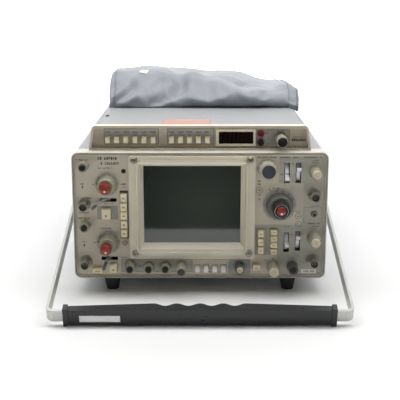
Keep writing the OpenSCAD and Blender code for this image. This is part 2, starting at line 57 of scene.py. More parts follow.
def span(node):
    """A node's limits in millimetres: x0, x1, depth0, depth1, z0, z1."""
    low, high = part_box(node)
    return (low.x / MM, high.x / MM, (low.y - FRONT) / MM, (high.y - FRONT) / MM,
            low.z / MM, high.z / MM)


def centre(node):
    x0, x1, _, _, z0, z1 = span(node)
    return (x0 + x1) / 2, (z0 + z1) / 2


PANEL = span("front_panel")[2]
TOP_FACE = 22.0
LEVER_PIVOT = 17.0
LEVER_TIP = 3.4
HUMP_TOP = span("pouch")[4]
REAR = span("rear_panel")[3]
BLACK = (0, 0, 0)
WHITE = (1, 1, 1)

# ---------------------------------------------------------------- materials


class Nodes:
    """A small helper that wires the nodes of one tree."""

    def __init__(self, tree, coordinates):
        self.tree = tree
        self.place = self.add("ShaderNodeTexCoord").outputs[coordinates]

    def add(self, kind, **settings):
        node = self.tree.nodes.new(kind)
        for key, value in settings.items():
            if key in node.inputs:
                node.inputs[key].default_value = value
            else:
                setattr(node, key, value)
        return node

    def link(self, source, target):
        self.tree.links.new(source, target)

    def noise(self, scale, detail=4.0, stretch=(1, 1, 1), rough=0.55):
        mapping = self.add("ShaderNodeMapping")
        mapping.inputs["Scale"].default_value = stretch
        self.link(self.place, mapping.inputs["Vector"])
        tex = self.add("ShaderNodeTexNoise", Scale=scale, Detail=detail, Roughness=rough)
        self.link(mapping.outputs["Vector"], tex.inputs["Vector"])
        return tex.outputs["Fac"]

    def ramp(self, fac, stops):
        node = self.add("ShaderNodeValToRGB")
        band = node.color_ramp
        while len(band.elements) < len(stops):
            band.elements.new(0.5)
        for element, (place, colour) in zip(band.elements, stops):
            element.position = place
            element.color = (*colour, 1)
        self.link(fac, node.inputs["Fac"])
        return node.outputs["Color"]

    def mix(self, fac, a, b):
        node = self.add("ShaderNodeMix", data_type="RGBA")
        for socket, value in ((node.inputs[0], fac), (node.inputs[6], a), (node.inputs[7], b)):
            if isinstance(value, bpy.types.NodeSocket):
                self.link(value, socket)
            elif isinstance(value, tuple):
                socket.default_value = (*value, 1)
            else:
                socket.default_value = value
        return node.outputs[2]

    def patches(self, start, end, *texture, **settings):
        """Soft-edged white patches on black, cut from a noise texture."""
        return self.ramp(self.noise(*texture, **settings), [(start, BLACK), (end, WHITE)])

    def veil(self, base, where, amount, colour):
        """A second colour laid thinly over a first one."""
        return self.mix(self.maths("MULTIPLY", where, amount), base, colour)

    def split(self, source):
        """The separate X, Y and Z of a vector."""
        node = self.add("ShaderNodeSeparateXYZ")
        self.link(source, node.inputs["Vector"])
        return node.outputs

    def maths(self, operation, a, b):
        node = self.add("ShaderNodeMath", operation=operation)
        for socket, value in zip(node.inputs, (a, b)):
            if isinstance(value, bpy.types.NodeSocket):
                self.link(value, socket)
            else:
                socket.default_value = value
        return node.outputs[0]


class Shader(Nodes):
    """One node-based material, with helpers for what its surface needs."""

    def __init__(self, name):
        self.mat = bpy.data.materials.new(name)
        self.mat.use_nodes = True
        self.bsdf = self.mat.node_tree.nodes["Principled BSDF"]
        super().__init__(self.mat.node_tree, "Object")

    def set(self, **values):
        for key, value in values.items():
            self.bsdf.inputs[key.replace("_", " ")].default_value = value

    def colour(self, socket):
        self.link(socket, self.bsdf.inputs["Base Color"])

    def rough(self, fac, low, high):
        node = self.add("ShaderNodeMapRange")
        node.inputs["To Min"].default_value = low
        node.inputs["To Max"].default_value = high
        self.link(fac, node.inputs["Value"])
        self.link(node.outputs["Result"], self.bsdf.inputs["Roughness"])

    def bump(self, height, strength, distance):
        node = self.add("ShaderNodeBump", Strength=strength, Distance=distance)
        self.link(height, node.inputs["Height"])
        self.link(node.outputs["Normal"], self.bsdf.inputs["Normal"])

    def inside(self, x0, x1, z0, z1):
        """1 within a rectangle of x and z, given in millimetres."""
        place = self.split(self.place)
        sides = []
        for axis, low, high in (("X", x0, x1), ("Z", z0, z1)):
            off = self.maths("SUBTRACT", place[axis], (low + high) / 2 * MM)
            sides.append(self.maths("LESS_THAN", self.maths("ABSOLUTE", off, 0.0),
                                    (high - low) / 2 * MM))
        return self.maths("MULTIPLY", *sides)

    def facing(self, start, end):
        """0 to 1 as a surface turns from sideways to the front."""
        normal = self.split(self.add("ShaderNodeTexCoord").outputs["Normal"])
        node = self.add("ShaderNodeMapRange", interpolation_type="SMOOTHSTEP")
        node.inputs["From Min"].default_value = -start
        node.inputs["From Max"].default_value = -end
        self.link(normal["Y"], node.inputs["Value"])
        return node.outputs["Result"]

    def edges(self, low=0.50, high=0.56):
        """White on convex edges, for wear."""
        point = self.add("ShaderNodeNewGeometry").outputs["Pointiness"]
        return self.ramp(point, [(low, BLACK), (high, WHITE)])


def shade(colour, k):
    return tuple(min(1.0, c * k) for c in colour)


def moulded(name, colour, rough=0.42, grain=900, bump=0.12, blotch=0.12, dirt=0.25, wear=0.15,
            coat=0.0):
    """Moulded plastic or painted metal: mottled colour, dust in the grain, paler edges."""
    s = Shader(name)
    wide = s.noise(14, 3)
    base = s.mix(wide, shade(colour, 1 - blotch), shade(colour, 1 + blotch))
    smudge = s.patches(0.45, 0.75, 55, 6, rough=0.7)
    base = s.veil(base, smudge, dirt, shade(colour, 0.55))
    base = s.veil(base, s.edges(), wear, shade(colour, 1.6))
    s.colour(base)
    fine = s.noise(grain, 2)
    s.rough(s.noise(120, 3), max(0.05, rough - 0.08), min(1, rough + 0.1))
    s.bump(fine, bump, 0.0002)
    s.set(Coat_Weight=coat)
    return s.mat


def metal(name, colour, rough=0.32, stretch=(1, 1, 1), brushed=400, bump=0.15, dirt=0.3):
    """Bare metal with a drawn or brushed finish and dull patches."""
    s = Shader(name)
    lines = s.noise(brushed, 3, stretch)
    patch = s.patches(0.4, 0.75, 30, 5, rough=0.7)
    base = s.mix(lines, shade(colour, 0.86), shade(colour, 1.1))
    base = s.veil(base, patch, dirt, shade(colour, 0.62))
    s.colour(base)
    s.rough(s.noise(90, 4), rough - 0.08, rough + 0.12)
    s.bump(lines, bump, 0.0001)
    s.set(Metallic=0.9)
    return s.mat


def grained_vinyl(name, colour, scale=420, depth=0.5, rough=0.5, sheen=0.1):
    """Vinyl skin: pebbled leather grain over a slightly cloudy colour."""
    s = Shader(name)
    cloud = s.noise(9, 4)
    base = s.mix(cloud, shade(colour, 0.93), shade(colour, 1.07))
    scuff = s.patches(0.55, 0.8, 38, 8, rough=0.75)
    base = s.veil(base, scuff, 0.18, shade(colour, 0.7))
    base = s.veil(base, s.edges(0.5, 0.58), 0.25, shade(colour, 1.2))
    s.colour(base)
    cells = s.add("ShaderNodeTexVoronoi", Scale=scale, feature="DISTANCE_TO_EDGE")
    s.link(s.place, cells.inputs["Vector"])
    height = s.maths("MINIMUM", cells.outputs["Distance"], 0.35)
    s.bump(s.maths("ADD", height, s.maths("MULTIPLY", s.noise(scale * 3, 2), 0.2)), depth, 0.0002)
    s.rough(s.noise(60, 4), rough - 0.06, rough + 0.1)
    s.set(Sheen_Weight=sheen)
    return s.mat


def enamel_shaded_in_front(name, side, front, rough=0.4):
    """Enamelled casting whose forward-facing faces take a second, darker colour: partly the rim's
    own darker paint, partly painted shade, while faces that look up stay light.
    """
    s = Shader(name)
    wide = s.noise(14, 3)
    base = s.mix(wide, shade(side, 0.95), shade(side, 1.05))
    smudge = s.patches(0.45, 0.75, 55, 6, rough=0.7)
    base = s.veil(base, smudge, 0.2, shade(side, 0.6))
    rim = s.mix(s.noise(70, 5), shade(front, 0.8), shade(front, 1.25))
    # Painted shade: faces that look forward get the darker colour, faces that look up keep the
    # lighter one.
    base = s.mix(s.facing(0.88, 0.97), base, rim)
    s.colour(base)
    s.rough(s.noise(120, 3), rough - 0.08, rough + 0.1)
    s.bump(s.noise(900, 2), 0.1, 0.0002)
    return s.mat


def split_colour(name, upper, lower, level):
    """One moulded finish with a second colour below a height in millimetres."""
    s = Shader(name)
    mottle = s.noise(300, 3)
    low = s.mix(mottle, shade(lower, 0.8), shade(lower, 1.3))
    high = s.mix(mottle, shade(upper, 0.85), shade(upper, 1.15))
    s.colour(s.mix(s.inside(-400, 400, level, 400), low, high))
    s.rough(mottle, 0.25, 0.42)
    s.set(Coat_Weight=0.3)
    return s.mat


def tipped(name, drum, tip, depth):
    """Moulded lever whose tip, in front of a given depth, has a colour of its own."""
    s = Shader(name)
    mottle = s.noise(300, 3)
    low = s.mix(mottle, shade(drum, 0.85), shade(drum, 1.15))
    high = s.mix(mottle, shade(tip, 0.93), shade(tip, 1.05))
    in_front = s.maths("LESS_THAN", s.split(s.place)["Y"], FRONT + depth * MM)
    s.colour(s.mix(in_front, low, high))
    s.rough(mottle, 0.2, 0.34)
    s.set(Coat_Weight=0.5)
    return s.mat


def panel_paint(name, colour, tint=None, zones=()):
    """Baked panel enamel with tinted zones, a fine speckle and handling marks."""
    s = Shader(name)
    speck = s.patches(0.42, 0.62, 2600, 1)
    base = colour
    for zone_colour, *limits in zones:
        base = s.mix(s.inside(*limits), base, zone_colour)
    base = s.mix(speck, base, s.mix(0.13, base, (1.0, 1.0, 1.0)))
    cloud = s.patches(0.42, 0.78, 24, 6, rough=0.7)
    base = s.veil(base, cloud, 0.35, tint or shade(colour, 0.82))
    s.colour(base)
    s.rough(s.noise(200, 4), 0.42, 0.6)
    s.bump(s.noise(1500, 2), 0.08, 0.0001)
    return s.mat


PAINTED_GLOW_PLACE = (6, 8, 104)
PAINTED_GLOW_FALL = 11.0


def screen_glass(name):
    """Tinted filter glass, nearly black, with a painted glow (a paler grey-green patch near its
    middle, painted light) and a clear reflection.
    """
    s = Shader(name)
    base = s.mix(s.noise(12, 2), (0.026, 0.032, 0.026), (0.034, 0.041, 0.034))
    # Painted light: the colour turns paler and greener towards a point near the middle of the
    # screen, as if the screen glowed.
    away = s.add("ShaderNodeVectorMath", operation="DISTANCE")
    s.link(s.place, away.inputs[0])
    away.inputs[1].default_value = at(*PAINTED_GLOW_PLACE)
    painted_glow = s.ramp(s.maths("MULTIPLY", away.outputs["Value"], PAINTED_GLOW_FALL),
                  [(0.1, WHITE), (0.85, BLACK)])
    base = s.veil(base, painted_glow, 0.6, (0.070, 0.080, 0.068))
    dust = s.patches(0.66, 0.8, 900, 6, rough=0.8)
    base = s.veil(base, dust, 0.05, (0.4, 0.4, 0.38))
    s.colour(base)
    s.rough(s.noise(40, 5), 0.03, 0.09)
    s.set(IOR=1.72, Coat_Weight=0.5, Coat_Roughness=0.04)
    return s.mat


def smoked_window(name):
    s = Shader(name)
    s.colour(s.mix(s.noise(60, 2), (0.006, 0.004, 0.004), (0.016, 0.008, 0.006)))
    s.rough(s.noise(50, 4), 0.05, 0.14)
    s.set(IOR=1.5)
    return s.mat


def flat_ink(name, colour, rough=0.6):
    """Printed ink with slight thinning."""
    s = Shader(name)
    s.colour(s.mix(s.noise(700, 3), shade(colour, 0.85), shade(colour, 1.2)))
    s.rough(s.noise(300, 2), rough - 0.1, rough + 0.1)
    return s.mat


def paper(name, colour):
    s = Shader(name)
    s.colour(s.mix(s.noise(40, 6, rough=0.7), shade(colour, 0.9), shade(colour, 1.05)))
    s.rough(s.noise(300, 3), 0.5, 0.7)
    s.bump(s.noise(800, 4), 0.1, 0.0001)
    return s.mat


def rubber(name, colour):
    s = Shader(name)
    dust = s.patches(0.5, 0.8, 80, 8, rough=0.75)
    s.colour(s.mix(s.maths("MULTIPLY", dust, 0.12), colour, (0.3, 0.29, 0.27)))
    s.rough(s.noise(150, 3), 0.55, 0.8)
    s.bump(s.noise(1200, 3), 0.3, 0.0002)
    return s.mat


def circuit_green(name):
    s = Shader(name)
    grid = s.add("ShaderNodeTexBrick", Scale=160.0)
    s.link(s.place, grid.inputs["Vector"])
    s.colour(s.mix(grid.outputs["Fac"], (0.03, 0.12, 0.05), (0.07, 0.2, 0.08)))
    s.rough(s.noise(100, 3), 0.35, 0.5)
    return s.mat


CREAM = (0.64, 0.617, 0.53)
BEIGE = (0.61, 0.55, 0.43)
OLIVE = (0.28, 0.27, 0.195)
IVORY = (0.88, 0.765, 0.49)
GREEN = (0.40, 0.393, 0.31)
SLATE = (0.31, 0.325, 0.32)
TAUPE = (0.51, 0.46, 0.385)
PANEL_ZONES = (
    (GREEN, 89.8, 117.5, 132.0, 162), (GREEN, 117.0, 146, 22, 162), (GREEN, 61, 117.0, 46.5, 83),
    (GREEN, 89.7, 117.0, 22, 46.5), (TAUPE, 102.5, 118.4, 98.5, 132.0),
    (GREEN, -91.6, -9.3, 25.8, 41.5), (SLATE, -117.7, -94.6, 89.4, 105.1),
    (SLATE, 33.2, 58.6, 23.8, 41.0), (GREEN, 119.2, 140.1, 84.9, 105.6),
)

M = {
    "cream": enamel_shaded_in_front("cream_enamel", CREAM, (0.27, 0.255, 0.205)),
    "bezel": moulded("bezel_plastic", (0.74, 0.675, 0.53), 0.42, blotch=0.06, dirt=0.2, wear=0.3),
    "panel": panel_paint("panel_enamel", BEIGE, zones=PANEL_ZONES),
    "top": enamel_shaded_in_front("top_unit_enamel", (0.72, 0.68, 0.55), (0.55, 0.495, 0.40)),
    "top_field": panel_paint("counter_field", (0.38, 0.365, 0.325)),
    "olive": moulded("olive_knob", OLIVE, 0.38, blotch=0.1, dirt=0.35, wear=0.4),
    "dark_knob": moulded("dark_knob", (0.075, 0.076, 0.072), 0.4, dirt=0.4, wear=0.3),
    "black": moulded("black_plastic", (0.010, 0.010, 0.011), 0.4, dirt=0.3, wear=0.4),
    "skirt": moulded("dial_skirt", (0.34, 0.33, 0.285), 0.3, dirt=0.2, coat=0.4),
    "time_skirt": moulded("time_skirt", (0.32, 0.31, 0.27), 0.3, dirt=0.2, coat=0.4),
    "time_body": moulded("time_body", (0.135, 0.135, 0.118), 0.36, dirt=0.3, wear=0.3),
    "blue_cap": moulded("slate_cap", (0.066, 0.072, 0.083), 0.32, dirt=0.2),
    "dial": moulded("dial_body", (0.42, 0.40, 0.32), 0.36, dirt=0.3, wear=0.3),
    "grey_line": flat_ink("grey_line", (0.45, 0.45, 0.43)),
    "jack_grey": moulded("jack_grey", (0.17, 0.17, 0.165), 0.34, dirt=0.3),
    "red": moulded("red_knob", (0.30, 0.038, 0.020), 0.2, dirt=0.3, wear=0.1, coat=0.7),
    # Painted shade: a darker copy of the red knobs' plastic, for their sides.
    "red_shaded_side": moulded("red_knob_painted_shade", (0.13, 0.014, 0.010), 0.3, dirt=0.3, wear=0.3),
    "jet": moulded("jet_knob", (0.006, 0.006, 0.007), 0.5, dirt=0.1, wear=0.1),
    "jacks": split_colour("jack_plastic", (0.30, 0.014, 0.03), (0.02, 0.018, 0.018), 181),
    "ivory": moulded("ivory_button", IVORY, 0.36, blotch=0.06, dirt=0.3, wear=0.25),
    "white": moulded("white_button", (0.93, 0.90, 0.86), 0.35, blotch=0.04, dirt=0.15),
    "tip": moulded("cream_cap", (0.60, 0.53, 0.36), 0.36, dirt=0.3),
    "steel": metal("plated_steel", (0.55, 0.53, 0.46), 0.34),
    "nickel": metal("dull_nickel", (0.42, 0.40, 0.33), 0.36, dirt=0.5),
    "drum": moulded("lever_drum", (0.88, 0.89, 0.92), 0.3, dirt=0.2, wear=0.2, coat=0.3),
    "screw": metal("screw_nickel", (0.50, 0.49, 0.40), 0.36, dirt=0.4),
    "brass": metal("contact_brass", (0.60, 0.43, 0.18), 0.3),
    "lever": tipped("bright_lever", (0.40, 0.42, 0.47), (0.86, 0.87, 0.88), LEVER_TIP),
    "lever_grey": tipped("coupling_lever", (0.40, 0.41, 0.42), (0.10, 0.105, 0.11), -7.0),
    "handle": metal("drawn_aluminium", (0.56, 0.555, 0.53), 0.38, (60, 1, 1), 12, 0.1, 0.15),
    "alloy": metal("rear_alloy", (0.55, 0.56, 0.55), 0.42, (1, 1, 30), 60),
    "grip": moulded("grip_plastic", (0.017, 0.018, 0.020), 0.30, 700, 0.2, 0.06, 0.08, 0.2),
    "cabinet": grained_vinyl("cabinet_vinyl", (0.30, 0.308, 0.316), 900, 0.35, 0.46),
    "pouch": grained_vinyl("pouch_vinyl", (0.285, 0.302, 0.332), 620, 0.3, 0.42, 0.15),
    "piping": grained_vinyl("pouch_piping", (0.19, 0.21, 0.245), 900, 0.2, 0.4),
    "rubber": rubber("foot_rubber", (0.016, 0.016, 0.017)),
    "screen": screen_glass("screen_filter"),
    "window": smoked_window("readout_window"),
    "ink": flat_ink("legend_ink", (0.055, 0.05, 0.043)),
    "mark": flat_ink("button_mark", (0.30, 0.235, 0.13)),
    "ink_soft": flat_ink("legend_ink_soft", (0.16, 0.15, 0.13)),
    # White print, and also the painted highlight on the red knobs.
    "white_print_and_highlight": flat_ink("white_print_and_painted_highlight", (0.80, 0.79, 0.75)),
    "salmon": paper("salmon_label", (0.55, 0.31, 0.25)),
    "white_label": paper("white_label", (0.93, 0.925, 0.91)),
    "sticker": paper("sticker_paper", (0.86, 0.84, 0.78)),
    "board": circuit_green("circuit_board"),
    "switch": moulded("switch_body", (0.20, 0.16, 0.10), 0.45),
    "iron": metal("transformer_iron", (0.20, 0.19, 0.18), 0.5),
    "digit": moulded("readout_digit", (0.011, 0.007, 0.007), 0.3),
}

# ---------------------------------------------------------------- mesh tools

FIGURE = 2.3
SHARP = 40
CAST_FROM = 400
BOX_FACES = ((0, 1, 3, 2), (4, 6, 7, 5), (0, 4, 5, 1), (2, 3, 7, 6), (0, 2, 6, 4), (1, 5, 7, 3))


def show(name, data):
    obj = bpy.data.objects.new(name, data)
    bpy.context.scene.collection.objects.link(obj)
    return obj


def piece(name, bm, mats, body=ROOT, sharp=SHARP):
    """Turns a bmesh into a shown object that rides on a body."""
    mesh = bpy.data.meshes.new(name)
    bmesh.ops.recalc_face_normals(bm, faces=bm.faces)
    bm.to_mesh(mesh)
    bm.free()
    for m in mats:
        mesh.materials.append(M[m])
    mesh.shade_smooth()
    mesh.set_sharp_from_angle(angle=math.radians(sharp))
    obj = show(name, mesh)
    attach(obj, body)
    return obj


def stand_in(name, bm, mats, node, body=None, sharp=SHARP):
    """A piece that takes the place of a CAD node, which it hides: it rides on the node's body
    unless another body is given.
    """
    obj = piece(name, bm, mats, body or node, sharp)
    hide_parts(node)
    return obj


def skin(bm, rings, mat=0, closed=True):
    """Joins each row of corners to the next one with four-sided faces."""
    for a, b in zip(rings, rings[1:]):
        for k in range(len(a) if closed else len(a) - 1):
            m = (k + 1) % len(a)
            bm.faces.new((a[k], a[m], b[m], b[k])).material_index = mat


def add_box(bm, x0, x1, d0, d1, z0, z1, mat=0):
    """A box given by its limits in millimetres, added to a bmesh."""
    corners = [bm.verts.new(at(x, d, z)) for x in (x0, x1) for d in (d0, d1) for z in (z0, z1)]
    for quad in BOX_FACES:
        bm.faces.new([corners[i] for i in quad]).material_index = mat


def add_outline(bm, points, d0, d1, mat=0):
    """An outline in x and z, extruded from depth d0 back to d1."""
    front = [bm.verts.new(at(x, d0, z)) for x, z in points]
    back = [bm.verts.new(at(x, d1, z)) for x, z in points]
    bm.faces.new(front).material_index = mat
    bm.faces.new(back[::-1]).material_index = mat
    skin(bm, [back, front], mat)


def rounded(x0, x1, z0, z1, r, steps=5):
    """Corner points of a rectangle with round corners."""
    points = []
    for cx, cz, start in ((x1 - r, z1 - r, 0), (x0 + r, z1 - r, 90), (x0 + r, z0 + r, 180),
                          (x1 - r, z0 + r, 270)):
        for i in range(steps + 1):
            a = math.radians(start + 90 * i / steps)
            points.append((cx + r * math.cos(a), cz + r * math.sin(a)))
    return points


def add_frame(bm, x0, x1, z0, z1, width, d0, d1, mat=0):
    """Four strips round a rectangle, drawn inside its limits."""
    for low in (z1 - width, z0):
        add_box(bm, x0, x1, d0, d1, low, low + width, mat)
    for left in (x0, x1 - width):
        add_box(bm, left, left + width, d0, d1, z0 + width, z1 - width, mat)


def add_lathe(bm, where, profile, segments=64, flutes=0):
    """Turns rows of (radius, forward, material = 0, flute depth = 0) about an axis along Y."""
    rings = []
    profile = [(*row, 0, 0)[:4] for row in profile]
    for radius, forward, mat, depth in profile:
        if radius <= 0:
            rings.append([bm.verts.new(at(where[0], -forward, where[1]))])
            continue
        ring = []
        for i in range(segments):
            a = 2 * math.pi * i / segments
            r = radius
            if depth and flutes:
                r -= depth * max(0.0, math.cos(flutes * a)) ** 0.7
            ring.append(bm.verts.new(at(where[0] + r * math.sin(a), -forward,
                                        where[1] + r * math.cos(a))))
        rings.append(ring)
    for k in range(len(rings) - 1):
        a, b, mat = rings[k], rings[k + 1], profile[k + 1][2]
        for i in range(segments):
            j = (i + 1) % segments
            if len(a) == 1:
                face = bm.faces.new((a[0], b[j], b[i]))
            elif len(b) == 1:
                face = bm.faces.new((a[i], a[j], b[0]))
            else:
                face = bm.faces.new((a[i], a[j], b[j], b[i]))
            face.material_index = mat


def add_tube(bm, path, radius, sides=8, mat=0, closed=False):
    """A round tube along points given as vectors in metres."""
    rings = []
    count = len(path)
    for i, p in enumerate(path):
        before = path[i - 1] if closed or i else path[0]
        after = path[(i + 1) % count] if closed or i < count - 1 else path[-1]
        along = (after - before).normalized()
        side = along.cross(Vector((0.3, 0.2, 1))).normalized()
        up = side.cross(along)
        rings.append([bm.verts.new(p + radius * MM * (side * math.cos(a) + up * math.sin(a)))
                      for a in (2 * math.pi * k / sides for k in range(sides))])
    skin(bm, rings + rings[:1] if closed else rings, mat)
    if not closed:
        bm.faces.new(rings[0]).material_index = mat
        bm.faces.new(rings[-1][::-1]).material_index = mat


def add_text(bm, words, x, z, depth, turn, thick):
    """Raised figures on a face that looks forward, centred on x and z, in the third material."""
    curve = bpy.data.curves.new("figure", "FONT")
    curve.body = words
    curve.size = FIGURE * MM
    curve.extrude = thick * MM / 2
    curve.align_x, curve.align_y = "CENTER", "CENTER"
    curve.resolution_u = 2
    temp = show("figure", curve)
    bpy.context.view_layer.update()
    mesh = bpy.data.meshes.new_from_object(temp)
    mesh.transform(Matrix.Translation(at(x, depth - thick / 2, z))
                   @ Matrix.Rotation(math.radians(turn), 4, "Y")
                   @ Matrix.Rotation(math.radians(90), 4, "X"))
    first = len(bm.faces)
    bm.from_mesh(mesh)
    bm.faces.ensure_lookup_table()
    for face in bm.faces[first:]:
        face.material_index = 2
    bpy.data.objects.remove(temp)
    bpy.data.curves.remove(curve)
    bpy.data.meshes.remove(mesh)


def add_figures(bm, x, z, figures, swing, radii, depth, thick):
    """Figures spread round a dial, from minus to plus the swing in degrees."""
    for i, words in enumerate(figures):
        turn = -swing + 2 * swing * i / (len(figures) - 1)
        a = math.radians(turn)
        add_text(bm, words, x + radii[0] * math.sin(a), z + radii[1] * math.cos(a), depth, turn,
                 thick)


def add_cross(bm, x, z, turn, reach, thin, d0, d1):
    """The crossed slots of a screw head, in the second material."""
    for degrees in (turn, turn + 90):
        a = math.radians(degrees)
        dx, dz = math.cos(a), math.sin(a)
        ends = [(x + u * reach * dx - v * thin * dz, z + u * reach * dz + v * thin * dx)
                for u, v in ((-1, -1), (1, -1), (1, 1), (-1, 1))]
        add_outline(bm, ends, d0, d1, 1)


# ---------------------------------------------------------------- CAD nodes

WELD_GAP = 0.00001
LOOK = {
    "front_casting": "cream", "front_panel": "panel", "crt_bezel": "bezel",
    "crt_filter": "screen", "crt_tube": "screen", "bezel_screws": "steel", "top_bezel": "top",
    "display_module": "window", "banana_jacks": "jacks", "bnc_connectors": "nickel",
    "control_bodies": "switch", "circuit_boards": "board", "power_transformer": "iron",
    "cabinet_shell": "cabinet", "rear_panel": "alloy", "fan_housing": "black",
    "fan_rotor": "black", "power_inlet": "black", "rear_feet": "rubber", "bottom_feet": "rubber",
    "handle_hubs": "black", "handle_bar": "handle", "handle_grip": "grip", "pouch": "pouch",
    "ch1_coupling_lever": "lever_grey", "ch2_coupling_lever": "lever_grey",
    "storage_buttons": "white",
}
EASED = {
    "front_casting": 1.9, "crt_bezel": 0.8, "top_bezel": 1.8, "display_module": 0.3,
    "bezel_screws": 0.25, "rear_panel": 0.4, "power_inlet": 0.4, "bottom_feet": 0.7,
    "rear_feet": 0.7, "handle_hubs": 0.6, "handle_bar": 0.5, "fan_rotor": 0.3,
    "ch1_coupling_lever": 0.5, "ch2_coupling_lever": 0.5, "bnc_connectors": 0.25,
    "banana_jacks": 0.35,
}


def dress(name):
    """Gives a CAD node its material, and eased edges where it is seen close up."""
    obj = NODES[name]
    look = LOOK.get(name)
    if look is None:
        look = "lever" if name.endswith("lever") else "ivory" if "button" in name else "olive"
    if not obj.data.materials:
        obj.data.materials.append(M[look])
    for slot in obj.material_slots:
        slot.link = "OBJECT"
        slot.material = M[look]
    width = EASED.get(name, 1.0 if "button" in name else 0.45 if name.endswith("lever") else 0)
    if width:
        weld = obj.modifiers.new("weld", "WELD")
        weld.merge_threshold = WELD_GAP
        bevel = obj.modifiers.new("ease", "BEVEL")
        bevel.width = width * MM
        bevel.segments = 3
        bevel.limit_method = "ANGLE"
        bevel.angle_limit = math.radians(SHARP)
        bevel.harden_normals = False


for node_name in NODES:
    dress(node_name)

DRUM_REACH = 56
DRUM_STEPS = 28
DRUM_SECTION = ((2.0, 9.0), (2.25, 9.2), (2.25, 12.9), (2.0, 13.25), (-2.0, 13.25),
                (-2.25, 12.9), (-2.25, 9.2), (-2.0, 9.0))
LEVER_Z = {"delayed_slope_lever": 143.8, "delayed_source_lever": 143.8,
           "trigger_slope_lever": 62.0, "trigger_source_lever": 63.4}


def drum_sector(node):
    """Fills a lever's slot: a sector of its drum, wide enough for the whole throw."""
    x, z = centre(node)[0], LEVER_Z[node]
    bm = bmesh.new()
    rings = []
    for i in range(DRUM_STEPS + 1):
        a = math.radians(-DRUM_REACH + 2 * DRUM_REACH * i / DRUM_STEPS)
        rings.append([bm.verts.new(at(x + half, LEVER_PIVOT - r * math.cos(a),
                                      z + r * math.sin(a))) for half, r in DRUM_SECTION])
    skin(bm, rings)
    bm.faces.new(rings[0])
    bm.faces.new(rings[-1][::-1])
    obj = piece(node + "_drum", bm, ("drum",), node)


for node_name in LEVER_Z:
    drum_sector(node_name)


def bezel_screws():
    """Four pan-head screws with cross recesses and washers at the corners of the bezel."""
    node = "bezel_screws"
    x0, x1, d0, _, z0, z1 = span(node)
    seat = -d0 - 0.2
    bm = bmesh.new()
    for x in (x0 + 3.3, x1 - 3.3):
        for z in (z0 + 4.6, z1 - 2.0):
            add_lathe(bm, (x, z), [
                (0, seat - 2.2), (4.0, seat - 2.2), (4.1, seat - 0.2),
                (4.0, seat), (3.3, seat + 0.1), (3.2, seat + 0.5),
                (2.8, seat + 1.0), (1.9, seat + 1.35), (0, seat + 1.45)], 40)
            add_cross(bm, x, z, 25, 2.0, 0.24, -(seat + 1.5), -(seat + 0.5))
    stand_in("bezel_screw_heads", bm, ("screw", "ink"), node, ROOT)


bezel_screws()


BEZEL_MOUTH = (-71.4, 53.4, 51.0, 156.2)


def bezel_bead():
    """A raised bead round the mouth of the bezel, which catches the light from above."""
    bm = bmesh.new()
    depth = span("crt_bezel")[2] + 0.1
    add_tube(bm, [at(x, depth, z) for x, z in rounded(*BEZEL_MOUTH, 2.5, 4)], 0.8, 10, 0, True)
    piece("bezel_bead", bm, ("bezel",))


bezel_bead()

# ---------------------------------------------------------------- stage

CAMERA_BACK = 0.9965
CAMERA_UP = 0.3589
CAMERA_PITCH = 13.877
LENS = 80.88
FLOOR_FRONT = 0.272
FLOOR_BACK = 1.6
FLOOR_HALF = 4
COVE = 0.8
FADE_START = 0.6
FADE_END = 1.9
FADE_GLOW = 0.9
BACKDROP = (0.96, 0.965, 0.965)
LIGHT_UP = 1.5


def set_camera():
    data = bpy.data.cameras.new("camera")
    data.lens = LENS
    data.sensor_width = 36
    cam = show("camera", data)
    cam.location = (0, FRONT - CAMERA_BACK, CAMERA_UP)
    cam.rotation_euler = (math.radians(90 - CAMERA_PITCH), 0, 0)
    bpy.context.scene.camera = cam


def area_light(name, place, target, size, power):
    data = bpy.data.lights.new(name, "AREA")
    data.energy = power
    data.shape = "RECTANGLE"
    data.size, data.size_y = size
    obj = show(name, data)
    obj.visible_camera = False
    obj.location = place
    obj.rotation_euler = (Vector(target) - Vector(place)).to_track_quat("-Z", "Y").to_euler()


def staged(name, bm, mat):
    """Part of the studio, which doesn't belong to the object."""
    mesh = bpy.data.meshes.new(name)
    bm.to_mesh(mesh)
    bm.free()
    mesh.materials.append(mat)
    return show(name, mesh)


